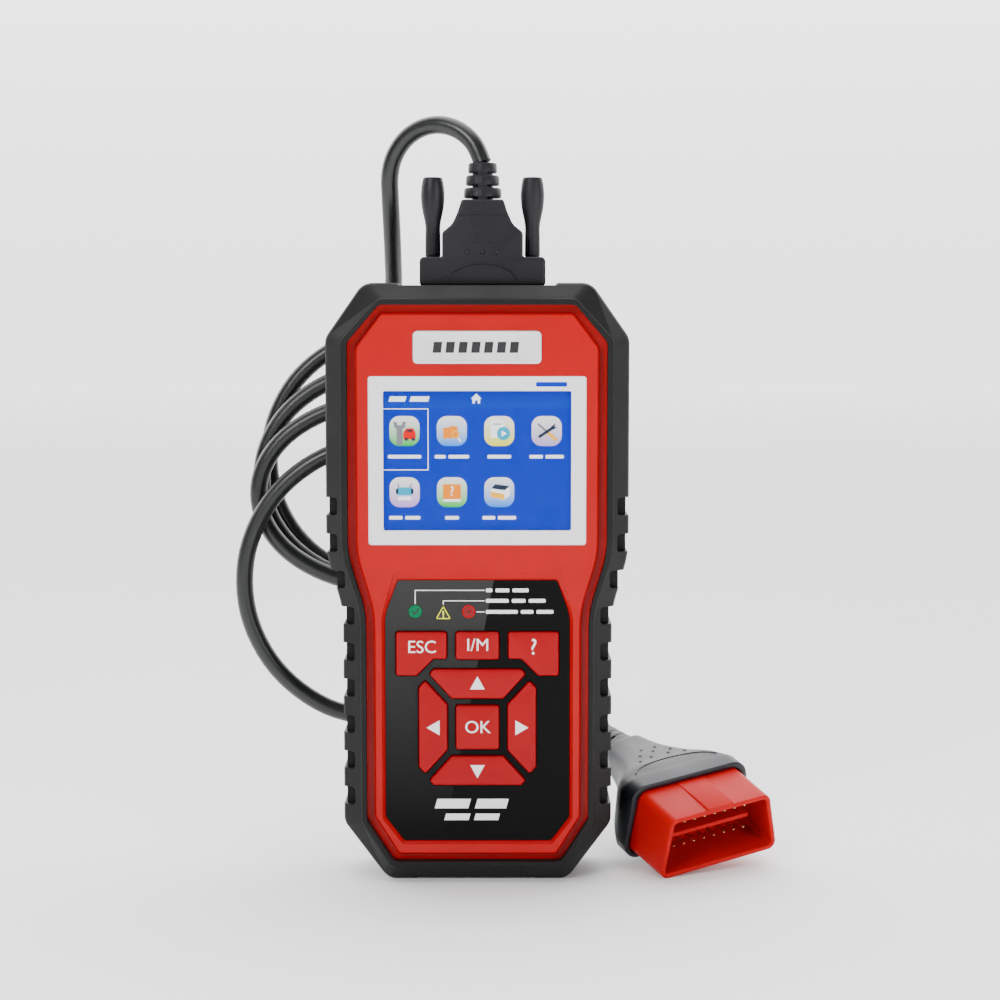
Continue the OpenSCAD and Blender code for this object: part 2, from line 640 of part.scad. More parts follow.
// Moves its children from the plug's own frame: nose along -Y, wide side down, mouth at y = 0
module at_mouth() translate(mouth_at) rotate([plug_pitch, 0, plug_yaw]) rotate([0, plug_roll, 0])
    children();

// Rounded trapezium, wide side down
function trapezium(wide, narrow, h, r) =
    rounded([[-wide / 2, -h / 2, r], [wide / 2, -h / 2, r], [narrow / 2, h / 2, r],
             [-narrow / 2, h / 2, r]], 6);

nose_outline = trapezium(nose_wide, nose_narrow, nose_h, 3);

module obd_nose() color([0.95, 0.1, 0.12]) at_mouth() moulded() difference() {
    union() {
        loft([
            at_y(inset(nose_outline, 0.7), 0),
            at_y(inset(nose_outline, 0.15), 0.4),
            at_y(nose_outline, 1.4),
            at_y(inset(nose_outline, -0.5), nose_l)
        ]);
        // raised key along the narrow side
        translate([-5.5, 0.2, nose_h / 2 - 1]) cube([11, nose_l - 0.4, 1.7]);
    }
    slab(-1, mouth_depth) polygon(inset(nose_outline, mouth_wall));
    // back of the nose, open to the pin carrier
    slab(mouth_depth + 1.6, nose_l + 1) polygon(inset(nose_outline, 2.4));
    for (row = pin_rows, i = [0 : 7]) translate([(i - 3.5) * pin_pitch - 0.8, mouth_depth - 1, row - 0.5])
        cube([1.6, 4, 1]);
}

module obd_pins() color([0.85, 0.75, 0.45]) at_mouth()
    for (row = pin_rows, i = [0 : 7]) translate([(i - 3.5) * pin_pitch - 0.75, pin_depth, row - 0.45])
        cube([1.5, nose_l + 4 - pin_depth, 0.9]);

// Block that holds the pins, with the bar between their rows
module obd_pin_carrier() color([0.8, 0.08, 0.1]) at_mouth() difference() {
    union() {
        translate([-16.8, mouth_depth + 1.6, -8]) cube([33.6, 8, 15]);
        translate([-15.5, pin_depth, -0.1]) cube([31, mouth_depth - pin_depth, 1.5]);
    }
    for (row = pin_rows, i = [0 : 7]) translate([(i - 3.5) * pin_pitch - 0.8, 0, row - 0.5])
        cube([1.6, 40, 1]);
}

// Back shell: widths and heights at distances behind the mouth
shell_rings = [
    [0, 52, 44, 26.6, 6], [0.5, 53, 45, 27.6, 6], [6.5, 53, 45, 27.6, 6], [9, 51, 44.5, 27, 7],
    [14, 45, 41, 26, 8], [20, 34.5, 33, 23.2, 8], [26, 27, 26, 21, 7.5], [32, 22, 21.5, 18.6, 7],
    [38, 19, 18.5, 16.6, 6.5], [shell_l + shell_rim, 17, 16.5, 15, 6]
];

module obd_backshell() color([0.13, 0.13, 0.15]) at_mouth() moulded() difference() {
    loft([for (s = shell_rings)
        at_y(trapezium(s[1], s[2], s[3], s[4]), nose_l - shell_rim + s[0])]);
    slab(nose_l - shell_rim - 1, nose_l) polygon(inset(nose_outline, -0.9));
    translate([-17, nose_l - 1, -8.2]) cube([34, 9, 15.4]);
    translate([-11, nose_l + 7, -6.5]) cube([22, 12, 13]);
}

module obd_strain_relief() color([0.13, 0.13, 0.15]) at_mouth()
    translate([0, nose_l + shell_l, 0]) rotate([-90, 0, 0])
        finned_relief(obd_relief_l, [12.8, 11.6, 10.4, 9.2], 3.45);

rubber_boot();
front_housing();
rear_housing();
case_screws();
nameplate();
screen_bezel();
screen_lens();
display_panel();
display_backlight();
display_ribbon();
keypad_overlay();
keypad_mat();
key_esc();
key_im();
key_help();
key_up();
key_left();
key_ok();
key_right();
key_down();
lamp_green();
lamp_yellow();
lamp_red();
status_leds();
main_board();
processor_chips();
board_capacitors();
crystal();
beeper();
board_socket();
socket_jack_nuts();
plug_metal_shell();
plug_insert();
plug_pins();
cable_plug_hood();
left_thumbscrew();
right_thumbscrew();
cable_strain_relief();
cable_lead();
cable_coil();
cable_tail();
cable_tie();
obd_strain_relief();
obd_backshell();
obd_nose();
obd_pins();
obd_pin_carrier();
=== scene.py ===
from math import atan2, cos, pi, radians, sin, sqrt, tan

import bmesh
import bpy
from mathutils import Matrix, Vector


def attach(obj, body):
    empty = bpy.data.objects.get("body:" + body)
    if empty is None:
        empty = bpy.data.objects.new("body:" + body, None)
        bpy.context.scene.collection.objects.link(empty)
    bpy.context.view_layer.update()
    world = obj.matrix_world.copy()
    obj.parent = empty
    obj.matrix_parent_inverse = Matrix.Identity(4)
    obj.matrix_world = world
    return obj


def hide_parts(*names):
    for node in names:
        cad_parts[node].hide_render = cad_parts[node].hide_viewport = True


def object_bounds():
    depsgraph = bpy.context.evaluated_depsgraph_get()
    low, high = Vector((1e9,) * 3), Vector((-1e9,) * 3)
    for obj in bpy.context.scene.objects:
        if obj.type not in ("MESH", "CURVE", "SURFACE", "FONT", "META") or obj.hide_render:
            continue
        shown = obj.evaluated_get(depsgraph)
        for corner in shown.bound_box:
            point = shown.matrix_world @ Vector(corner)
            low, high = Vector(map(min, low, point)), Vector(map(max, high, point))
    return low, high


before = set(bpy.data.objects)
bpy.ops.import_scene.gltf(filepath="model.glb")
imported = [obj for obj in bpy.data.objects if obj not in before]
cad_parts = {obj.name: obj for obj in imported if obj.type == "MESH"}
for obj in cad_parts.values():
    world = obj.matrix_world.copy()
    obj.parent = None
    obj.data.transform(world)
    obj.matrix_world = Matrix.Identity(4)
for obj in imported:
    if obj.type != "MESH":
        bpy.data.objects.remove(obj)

CAD_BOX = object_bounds()
MM = 0.001
ROOT = "reader"

# ---- Driving sizes, in millimetres, as in the part ----

# depths (Y) of the boot's rim, the housing's face, the overlay, the keys and the display
FRONT = -18.75
FACE = FRONT + 1.55
OVERLAY = FRONT + 2.85
KEY_FRONT = OVERLAY - 1.7
KEY_FLANGE = FRONT + 4.95
DISPLAY = OVERLAY + 0.2
SCREEN_Z = 141.1
PLUG_X, PLUG_Y = 1.7, 1.0
HOOD_Z, EAR_TOP, COLLAR_Z, RELIEF_Z = 198.7, 208.2, 227.1, 239.5
SCREW_REACH = 16.65
CABLE_D = 6.1
YAW, PITCH, ROLL = radians(28), radians(15), radians(-8)
MOUTH = Vector((82.3, -7, 13))
NOSE_L, SHELL_L, OBD_RELIEF_L, SHELL_RIM = 22, 42, 18, 2

# ---- Camera ----

CAMERA_AT = Vector((7.5, -700, 187)) * MM
LOOK_AT = Vector((7.5, -19, 128.4)) * MM
LENS = 74.9


def linked(name, data):
    """A new object in the scene."""
    obj = bpy.data.objects.new(name, data)
    bpy.context.scene.collection.objects.link(obj)
    return obj


def aim(obj, place, target):
    """Puts a camera or a lamp at a place, facing a target, in metres."""
    obj.location = place
    obj.rotation_euler = (Vector(target) - Vector(place)).to_track_quat("-Z", "Y").to_euler()


def add_camera():
    data = bpy.data.cameras.new("camera")
    data.lens = LENS
    data.clip_start = 0.01
    camera = linked("camera", data)
    aim(camera, CAMERA_AT, LOOK_AT)
    bpy.context.scene.camera = camera


add_camera()

# ---- Materials ----


class Nodes:
    """The node tree of a material or a world, with short ways to add and join its nodes."""

    def __init__(self, owner, coords):
        owner.use_nodes = True
        self.tree = owner.node_tree
        self.coords = self.add("ShaderNodeTexCoord").outputs[coords]

    def add(self, kind, inputs=(), **settings):
        """A new node with its settings, and its inputs as pairs of socket and constant."""
        node = self.tree.nodes.new(kind)
        for key, value in settings.items():
            setattr(node, key, value)
        for socket, value in inputs:
            node.inputs[socket].default_value = value
        return node

    def link(self, source, target):
        self.tree.links.new(source, target)

    def place(self, axis):
        """The object coordinate along one axis."""
        split = self.add("ShaderNodeSeparateXYZ")
        self.link(self.coords, split.inputs["Vector"])
        return split.outputs[axis]

    def noise(self, scale, detail=3.0, stretch=None):
        node = self.add("ShaderNodeTexNoise",
                        [("Scale", scale), ("Detail", detail), ("Roughness", 0.55)])
        vector = self.coords
        if stretch:
            mapping = self.add("ShaderNodeMapping", [("Scale", stretch)])
            self.link(vector, mapping.inputs["Vector"])
            vector = mapping.outputs["Vector"]
        self.link(vector, node.inputs["Vector"])
        return node.outputs["Fac"]

    def ramp(self, source, stops):
        node = self.add("ShaderNodeValToRGB")
        elements = node.color_ramp.elements
        while len(elements) < len(stops):
            elements.new(0.5)
        for element, (place, colour) in zip(elements, stops):
            element.position = place
            element.color = (*colour[:3], 1)
        self.link(source, node.inputs["Fac"])
        return node.outputs["Color"]

    def remap(self, source, low, high, from_low=0.3, from_high=0.7, **settings):
        node = self.add("ShaderNodeMapRange", [("From Min", from_low), ("From Max", from_high),
                                               ("To Min", low), ("To Max", high)], **settings)
        self.link(source, node.inputs["Value"])
        return node.outputs["Result"]

    def combine(self, operation, a, b):
        node = self.add("ShaderNodeMath", operation=operation)
        self.link(a, node.inputs[0])
        self.link(b, node.inputs[1])
        return node.outputs["Value"]


class Shader(Nodes):
    """One node material: a Principled shader and the nodes that feed it."""

    def __init__(self, name, **constants):
        self.material = bpy.data.materials.new(name)
        super().__init__(self.material, "Object")
        self.bsdf = self.tree.nodes["Principled BSDF"]
        for socket, value in constants.items():
            self.bsdf.inputs[socket.replace("_", " ")].default_value = value

    def feed(self, socket, source):
        self.link(source, self.bsdf.inputs[socket])

    def bump(self, height, strength, distance, edge=0.0):
        node = self.add("ShaderNodeBump", [("Strength", strength), ("Distance", distance)])
        self.link(height, node.inputs["Height"])
        if edge:
            bevel = self.add("ShaderNodeBevel", [("Radius", edge)], samples=6)
            self.link(bevel.outputs["Normal"], node.inputs["Normal"])
        self.feed("Normal", node.outputs["Normal"])


def shade(colour, factor):
    return tuple(min(1.0, c * factor) for c in colour[:3])


GRAIN_DEPTH = 0.06 * MM


def moulded(name, colour, rough, grain, scale=1400, spread=0.10, edge=0.0, **constants):
    """Moulded plastic or rubber: mottled colour, uneven gloss and a fine grain."""
    s = Shader(name, **constants)
    s.feed("Base Color", s.ramp(s.noise(70, detail=4), [(0.32, shade(colour, 1 - spread)),
                                                        (0.68, shade(colour, 1 + spread))]))
    s.feed("Roughness", s.remap(s.noise(38, detail=5), rough - 0.07, rough + 0.07))
    s.bump(s.noise(scale, detail=2), grain, GRAIN_DEPTH, edge)
    return s.material


def metal(name, colour, rough=0.3):
    """Bright metal, brushed along Z."""
    s = Shader(name, Metallic=1.0)
    s.feed("Base Color", s.ramp(s.noise(160), [(0.3, shade(colour, 0.85)), (0.7, colour)]))
    brushed = s.noise(500, stretch=(1, 1, 40))
    s.feed("Roughness", s.remap(brushed, rough - 0.08, rough + 0.1))
    s.bump(brushed, 0.12, 0.03 * MM)
    return s.material


def lit(name, colour, strength, rough=0.35):
    """A printed or lit mark on the display or beside it."""
    s = Shader(name, Emission_Strength=strength, Specular_IOR_Level=0.1)
    tone = s.ramp(s.noise(240), [(0.3, shade(colour, 0.98)), (0.7, colour)])
    s.feed("Base Color", tone)
    s.feed("Emission Color", tone)
    s.feed("Roughness", s.remap(s.noise(90), rough - 0.05, rough + 0.05))
    return s.material


def lit_gradient(name, low, high, z0, z1, strength):
    """A lit patch whose colour runs from low at height z0 to high at z1, in millimetres."""
    s = Shader(name, Emission_Strength=strength, Roughness=0.4, Specular_IOR_Level=0.1)
    place = s.remap(s.place("Z"), 0.0, 1.0, z0 * MM, z1 * MM)
    tone = s.ramp(place, [(0.0, low), (1.0, high)])
    s.feed("Base Color", tone)
    s.feed("Emission Color", tone)
    return s.material


# the edge of the painted reflection on the overlay film leans: it stands at x = slope * z + shift, in
# metres, with the slope and shift given next
REFLECTION_SLOPE, REFLECTION_SHIFT = 0.193, -0.01414
# painted reflection: its edge is softened over this distance either side, and it brightens from the
# lower height to the upper one, in metres
REFLECTION_BLUR = 0.0001
REFLECTION_LOW, REFLECTION_HIGH = 0.018, 0.100


def overlay_film_painted_reflection():
    """Glossy black film with a painted reflection: a lighter sweep across its upper left."""
    s = Shader("overlay_film", Roughness=0.14, Specular_IOR_Level=0.07)
    # painted reflection: lighter left of the leaning edge, and more so towards the top
    lean = s.add("ShaderNodeMath", [(1, -REFLECTION_SLOPE), (2, -REFLECTION_SHIFT)], operation="MULTIPLY_ADD")
    s.link(s.place("Z"), lean.inputs[0])
    across = s.combine("ADD", s.place("X"), lean.outputs["Value"])
    left = s.remap(across, 1.0, 0.0, -REFLECTION_BLUR, REFLECTION_BLUR)
    up = s.remap(s.place("Z"), 0.02, 1.0, REFLECTION_LOW, REFLECTION_HIGH)
    s.feed("Base Color", s.ramp(s.combine("MULTIPLY", left, up),
                                [(0.0, (0.001, 0.001, 0.001)), (1.0, (0.034, 0.034, 0.034))]))
    s.bump(s.noise(900), 0.04, 0.02 * MM)
    return s.material


def board_mask():
    """Green solder mask with a pattern of tracks."""
    s = Shader("solder_mask", Roughness=0.35)
    tracks = s.add("ShaderNodeTexBrick", [
        ("Scale", 260), ("Color1", (0.01, 0.16, 0.06, 1)), ("Color2", (0.012, 0.2, 0.08, 1)),
        ("Mortar", (0.02, 0.28, 0.12, 1))])
    s.link(s.coords, tracks.inputs["Vector"])
    s.feed("Base Color", tracks.outputs["Color"])
    s.bump(tracks.outputs["Fac"], 0.2, 0.05 * MM)
    return s.material


def strap_weave():
    """Black woven strap, banded along Z."""
    s = Shader("strap_weave", Roughness=0.9, Sheen_Weight=0.4)
    wave = s.add("ShaderNodeTexWave", [("Scale", 420), ("Distortion", 2.5)], wave_type="BANDS",
                 bands_direction="Z")
    s.link(s.coords, wave.inputs["Vector"])
    s.feed("Base Color", s.ramp(wave.outputs["Fac"], [(0.2, (0.008, 0.008, 0.009)),
                                                      (0.9, (0.035, 0.035, 0.04))]))
    s.bump(wave.outputs["Fac"], 0.6, 0.2 * MM)
    return s.material


MAT = {
    "boot": moulded("boot_rubber", (0.008, 0.008, 0.008), rough=0.5, grain=0.5, scale=1700, edge=0.0003,
                    spread=0.16, Specular_IOR_Level=0.18),
    "red": moulded("housing_red", (0.42, 0.0, 0.002), rough=0.34, grain=0.10, scale=1500,
                   edge=0.0003, spread=0.05, Specular_IOR_Level=0.2),
    "rear": moulded("rear_plastic", (0.022, 0.022, 0.024), rough=0.55, grain=0.6, scale=1100),
    "plate": moulded("nameplate_white", (0.80, 0.80, 0.82), rough=0.28, grain=0.05, edge=0.0003,
                     spread=0.03, Coat_Weight=0.4, Coat_Roughness=0.1),
    "bezel": moulded("bezel_white", (0.87, 0.87, 0.88), rough=0.3, grain=0.04, spread=0.02, edge=0.0002),
    "key": moulded("key_red", (0.33, 0.0, 0.004), rough=0.38, grain=0.12, scale=1600, spread=0.05,
                   Specular_IOR_Level=0.16),
    "legend": moulded("legend_white", (0.9, 0.9, 0.9), rough=0.4, grain=0.05, spread=0.02),
    "hood": moulded("hood_pvc", (0.007, 0.006, 0.009), rough=0.46, grain=0.35, scale=1500, spread=0.12,
                    edge=0.0002, Specular_IOR_Level=0.3),
    "cable": moulded("cable_jacket", (0.005, 0.006, 0.006), rough=0.36, grain=0.12, scale=900,
                     spread=0.15),
    "shell": moulded("backshell_pvc", (0.007, 0.008, 0.013), rough=0.46, grain=0.45, scale=1300,
                     spread=0.14, edge=0.0002, Specular_IOR_Level=0.4),
    "obd_red": moulded("obd_red", (0.46, 0.0, 0.001), rough=0.42, grain=0.08, spread=0.04,
                       edge=0.0003, Specular_IOR_Level=0.12),
    "mat": moulded("silicone_mat", (0.55, 0.55, 0.52), rough=0.6, grain=0.2),
    "ic": moulded("package_black", (0.02, 0.02, 0.02), rough=0.5, grain=0.3),
    "white_pack": moulded("led_package", (0.8, 0.8, 0.7), rough=0.4, grain=0.05),
    "film": moulded("ribbon_film", (0.6, 0.3, 0.05), rough=0.3, grain=0.05),
    "tin": metal("tin_plate", (0.72, 0.71, 0.69)),
    "gold": metal("gold_flash", (0.95, 0.78, 0.42), rough=0.25),
    # glossy black film with a painted reflection
    "overlay": overlay_film_painted_reflection(),
    "board": board_mask(),
    "strap": strap_weave(),
    "label": moulded("label_silver", (0.5, 0.5, 0.52), rough=0.38, grain=0.08, spread=0.05),
    "ink": moulded("ink_dark", (0.012, 0.012, 0.014), rough=0.4, grain=0.05),
    "lcd": lit("display_blue", (0.0, 0.022, 0.42), strength=0.30, rough=0.3),
}
for name, colour, strength in (
        ("white", (0.95, 0.97, 1.0), 0.5), ("dark", (0.02, 0.03, 0.06), 0.1),
        ("orange", (0.95, 0.26, 0.0), 0.2), ("red", (0.75, 0.0, 0.0), 0.2),
        ("cyan", (0.0, 0.38, 0.60), 0.25), ("grey", (0.20, 0.20, 0.23), 0.2),
        ("gold", (0.95, 0.50, 0.03), 0.25)):
    MAT["ui_" + name] = lit("display_" + name, colour, strength)
for name, colour, strength in (("lamp_green", (0.0, 0.13, 0.05), 0.2),
                               ("lamp_yellow", (0.75, 0.80, 0.02), 0.35),
                               ("lamp_red", (0.35, 0.0, 0.004), 0.2)):
    MAT[name] = lit(name + "_lit", colour, strength)

# ---- Outlines, as the part draws them ----


def corner_arc(a, b, c, r, n):
    """The arc of radius r that rounds the corner at b, in n steps."""
    if r <= 0:
        return [Vector(b)]
    a, b, c = Vector(a), Vector(b), Vector(c)
    u, v = (a - b).normalized(), (c - b).normalized()
    half = u.angle(v) / 2
    centre = b + (u + v).normalized() * r / sin(half)
    start_at = b + u * r / tan(half) - centre
    end_at = b + v * r / tan(half) - centre
    start = atan2(start_at.y, start_at.x)
    sweep = atan2(end_at.y, end_at.x) - start
    sweep += 2 * pi * ((sweep < -pi) - (sweep > pi))
    return [centre + r * Vector((cos(start + sweep * i / n), sin(start + sweep * i / n)))
            for i in range(n + 1)]


def rounded(corners, n):
    """A closed outline from corners (x, z, radius), anticlockwise."""
    k = len(corners)
    points = []
    for i, (x, z, r) in enumerate(corners):
        before, after = corners[i - 1], corners[(i + 1) % k]
        points += corner_arc(before[:2], (x, z), after[:2], r, n)
    return points


def mirrored(half):
    """The corners of a right half, and after them those of its left half."""
    return half + [(-c[0], *c[1:]) for c in reversed(half)]


def inset(points, d):
    """An outline moved inwards by d, or outwards when d is negative."""
    k = len(points)
    moved = []
    for i, p in enumerate(points):
        u = (p - points[i - 1]).normalized()
        v = (points[(i + 1) % k] - p).normalized()
        moved.append(p + d * Vector((-u.y - v.y, u.x + v.x)) / (1 + u.dot(v)))
    return moved


def circle(x, z, r, n=32):
    return [Vector((x + r * cos(2 * pi * i / n), z + r * sin(2 * pi * i / n))) for i in range(n)]


def box_outline(w, h, r, at, n):
    """A rectangle w by h with its corners rounded, about the point at."""
    x, z = at
    return rounded([(x - w / 2, z - h / 2, r), (x + w / 2, z - h / 2, r), (x + w / 2, z + h / 2, r),
                    (x - w / 2, z + h / 2, r)], n)


# ---- Mesh tools ----


def smoothed(mesh, angle):
    """Shades a mesh smooth, but for its edges sharper than the angle in degrees."""
    mesh.shade_smooth()
    mesh.set_sharp_from_angle(angle=radians(angle))


def new_piece(name, data, material, body=ROOT):
    """A visual piece of a mesh or a curve that rides on a body."""
    data.materials.append(MAT[material])
    obj = linked(name, data)
    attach(obj, body)
    return obj


def new_object(name, mesh, material, body=ROOT, replaces=(), smooth=35):
    """A piece of a mesh, which may stand for CAD nodes."""
    mesh.name = name
    if smooth:
        smoothed(mesh, smooth)
    obj = new_piece(name, mesh, material, body)
    if replaces:
        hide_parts(*replaces)
    return obj


def mesh_of(bm):
    mesh = bpy.data.meshes.new("mesh")
    bm.to_mesh(mesh)
    bm.free()
    return mesh


def mesh_from(points, faces):
    """A mesh from points in millimetres, its faces turned outwards."""
    mesh = bpy.data.meshes.new("mesh")
    mesh.from_pydata([Vector(p) * MM for p in points], [], faces)
    bm = bmesh.new()
    bm.from_mesh(mesh)
    bmesh.ops.recalc_face_normals(bm, faces=bm.faces)
    return mesh_of(bm)


def at_y(outline, y):
    return [Vector((p[0], y, p[1])) for p in outline]


def loft_mesh(rings, hub=None, closed=False):
    """A skin over rings of equal counts. Its ends are fans about the hub; closed joins last to first."""
    n, m = len(rings[0]), len(rings)
    points = [p for ring in rings for p in ring]
    faces = []
    for j in range(m if closed else m - 1):
        k = (j + 1) % m
        faces += [(j * n + i, j * n + (i + 1) % n, k * n + (i + 1) % n, k * n + i) for i in range(n)]
    if not closed:
        for j in (0, m - 1):
            ring = rings[j]
            centre = sum(ring, Vector((0, 0, 0))) / n
            if hub:
                centre = Vector((hub[0], ring[0].y, hub[1]))
            points.append(centre)
            faces += [(len(points) - 1, j * n + i, j * n + (i + 1) % n) for i in range(n)]
    return mesh_from(points, faces)


def slab_mesh(outline, y0, y1):
    """A flat plate from depth y0 back to y1."""
    return loft_mesh([at_y(outline, y0), at_y(outline, y1)])


def lathe_mesh(profile, n, axis_at=(0, 0)):
    """A turned shape along +Z from (radius, height) points, in n steps, with flat ends."""
    points = [Vector((*p, h)) for r, h in profile for p in circle(*axis_at, r, n)]
    last = n * (len(profile) - 1)
    faces = [(j + i, j + (i + 1) % n, j + n + (i + 1) % n, j + n + i)
             for j in range(0, last, n) for i in range(n)]
    faces += [tuple(reversed(range(n))), tuple(range(last, last + n))]
    return mesh_from(points, faces)


def joined(meshes):
    """Several closed meshes as one mesh."""
    bm = bmesh.new()
    for mesh in meshes:
        bm.from_mesh(mesh)
    return mesh_of(bm)


def turned(mesh, matrix):
    mesh.transform(matrix)
    return mesh


def cut(obj, cutters):
    """Takes closed meshes out of a piece, and keeps the result as its mesh."""
    tool = linked("cutter", joined(cutters))
    modifier = obj.modifiers.new("cut", "BOOLEAN")
    modifier.operation = "DIFFERENCE"
    modifier.solver = "EXACT"
    modifier.object = tool
    bpy.context.view_layer.update()
    depsgraph = bpy.context.evaluated_depsgraph_get()
    mesh = bpy.data.meshes.new_from_object(obj.evaluated_get(depsgraph))
    obj.modifiers.clear()
    obj.data = mesh
    smoothed(mesh, 35)
    bpy.data.objects.remove(tool)


def box_mesh(low, high):
    """A block between two corners, in millimetres."""
    bm = bmesh.new()
    bmesh.ops.create_cube(bm, size=1)
    for v in bm.verts:
        v.co = Vector([(a + b) / 2 + c * (b - a) for a, b, c in zip(low, high, v.co)]) * MM
    return mesh_of(bm)


# ---- Cable ----

LEAD_ROUTE = [
    (1.7, 1, 239.5), (-1.2, 2.4, 245.9), (-6.1, 4.8, 250.5), (-12.3, 7.8, 252.7), (-18.7, 10.9, 252),
    (-24.4, 13.6, 248.6), (-28.4, 15.6, 243), (-30.1, 17.1, 236.4), (-30.1, 19.5, 228.5),
    (-29.9, 24.5, 219), (-29.9, 32, 209), (-30.3, 41.5, 199), (-32.5, 48.9, 187.5), (-37, 50.1, 172),
    (-42.3, 50.2, 155), (-45.8, 49.7, 138.5), (-47, 49.3, 123.5), (-46.6, 49.2, 111.4),
    (-43, 49.2, 100.6),
]
TAIL_ROUTE = [
    (-31.5, 23.6, 47), (-22.5, 25.5, 46.6), (-14.5, 31.5, 45.8), (-9, 40.5, 45), (-5.2, 50.5, 44.2),
    (-1, 60.5, 43.4), (4.5, 70, 42.5), (11.1, 77.5, 41.7), (18.2, 81.9, 41), (26.6, 82.4, 40.2),
    (34.1, 79.2, 39.2),
]
TURN_X, TURN_RIGHT, TURN_NEAR, TURN_PITCH, HALF_STEPS = -31.5, 45, 23.6, 6.4, 7
TURN_TOPS = [182, 170, 159, 145]
TURN_BOTTOMS = [94, 93.5, 94, 47]
TURN_REACHES = [43.5, 45.5, 46, 50.5]
FIRST_BOTTOM = 94


def turn_y(k):
    """The depth of turn k; the last turn lies nearest the reader."""
    return TURN_NEAR + TURN_PITCH * (len(TURN_TOPS) - 1 - k)


def half_turn(low, high, reach, start, depth):
    """One half of a turn, from angle start; depth gives Y from the share done."""
    points = []
    for i in range(HALF_STEPS):
        share = i / HALF_STEPS
        a = start + pi * share
        points.append((TURN_X + reach * cos(a), depth(share),
                       (low + high) / 2 + (high - low) / 2 * sin(a)))
    return points


def coil_route():
    """The turns, each up its right side and down its left side."""
    points = []
    for k, top in enumerate(TURN_TOPS):
        low = FIRST_BOTTOM if k == 0 else TURN_BOTTOMS[k - 1]
        near = turn_y(k)
        points += half_turn(low, top, TURN_RIGHT, -pi / 2,
                            lambda t: near + TURN_PITCH * (1 - t * t * (3 - 2 * t)))
        points += half_turn(TURN_BOTTOMS[k], top, TURN_REACHES[k], pi / 2, lambda t: near)
    return points


def plug_point(y):
    """The place of a point y behind the mouth of the vehicle plug."""
    return MOUTH + y * Vector((-sin(YAW) * cos(PITCH), cos(YAW) * cos(PITCH), sin(PITCH)))


def smooth_line(points, steps):
    """A curve through the points, by Catmull and Rom's rule."""
    points = [Vector(p) for p in points]
    line = []
    for i in range(len(points) - 1):
        a = points[max(i - 1, 0)]
        b, c = points[i], points[i + 1]
        d = points[min(i + 2, len(points) - 1)]
        for s in range(steps):
            t = s / steps
            line.append(0.5 * ((2 * b) + (c - a) * t + (2 * a - 5 * b + 4 * c - d) * t ** 2
                               + (3 * b - 3 * c + d - a) * t ** 3))
    return line + [points[-1]]


def curve_object(name, line, radius, material, resolution=6):
    """A round cord or rib along a line, riding on the reader."""
    data = bpy.data.curves.new(name, "CURVE")
    data.dimensions = "3D"
    data.bevel_depth = radius * MM
    data.bevel_resolution = resolution
    data.use_fill_caps = True
    spline = data.splines.new("POLY")
    spline.points.add(len(line) - 1)
    for point, place in zip(spline.points, line):
        point.co = (*(Vector(place) * MM), 1)
    spline.use_smooth = True
    return new_piece(name, data, material)


OBD_LENGTH = NOSE_L + SHELL_L + OBD_RELIEF_L
PLUG_END = [plug_point(OBD_LENGTH + extra) for extra in (12, 6, 0)]
CABLE_LINE = smooth_line(LEAD_ROUTE + coil_route() + TAIL_ROUTE + PLUG_END, 6)
cable = curve_object("cable", CABLE_LINE, CABLE_D / 2, "cable")
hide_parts("cable_lead", "cable_coil", "cable_tail")

# ---- Vehicle plug ----

TO_MOUTH = (Matrix.Translation(MOUTH * MM) @ Matrix.Rotation(YAW, 4, "Z")
            @ Matrix.Rotation(PITCH, 4, "X") @ Matrix.Rotation(ROLL, 4, "Y"))


def trapezium(wide, narrow, h, r, n=8):
    """A rounded trapezium about the origin, wide at its foot."""
    return rounded([(-wide / 2, -h / 2, r), (wide / 2, -h / 2, r), (narrow / 2, h / 2, r),
                    (-narrow / 2, h / 2, r)], n)


NOSE_OUTLINE = trapezium(47, 39, 22, 3)
MOUTH_DEPTH, PIN_DEPTH, PIN_PITCH, PIN_ROWS = 18, 7, 4, (-3.9, 4.6)
WALL = 1.7
SHELL_FRONT = NOSE_L - SHELL_RIM


def round_edge(outline, y, radius, steps, toward=1):
    """Rings that roll over an edge of that radius; toward is +1 when the wall runs to larger y."""
    rings = []
    for i in range(steps + 1):
        a = pi / 2 * i / steps
        rings.append(at_y(inset(outline, radius * (1 - sin(a))), y + toward * radius * (1 - cos(a))))
    return rings


def obd_nose():
    """The hollow red nose with its key along the top."""
    rim_in = inset(NOSE_OUTLINE, WALL)
    rings = [at_y(rim_in, MOUTH_DEPTH), at_y(rim_in, 0.6), at_y(inset(NOSE_OUTLINE, WALL - 0.35), 0.12),
             at_y(inset(NOSE_OUTLINE, WALL - 0.7), 0)]
    rings += round_edge(NOSE_OUTLINE, 0, 0.7, 5)
    rings += [at_y(inset(NOSE_OUTLINE, -0.5 * y / NOSE_L), y) for y in (6, 12, 18, NOSE_L)]
    shell = loft_mesh(rings)
    key_outline = rounded([(-5.5, 10.1, 0), (5.5, 10.1, 0), (5.2, 11.7, 0.5), (-5.2, 11.7, 0.5)], 5)
    key = loft_mesh([at_y(inset(key_outline, 0.3), 0.15), at_y(key_outline, 0.6),
                     at_y(key_outline, 21.6)])
    return new_object("obd_plug_nose", turned(joined([shell, key]), TO_MOUTH), "obd_red",
                      replaces=("obd_nose",))


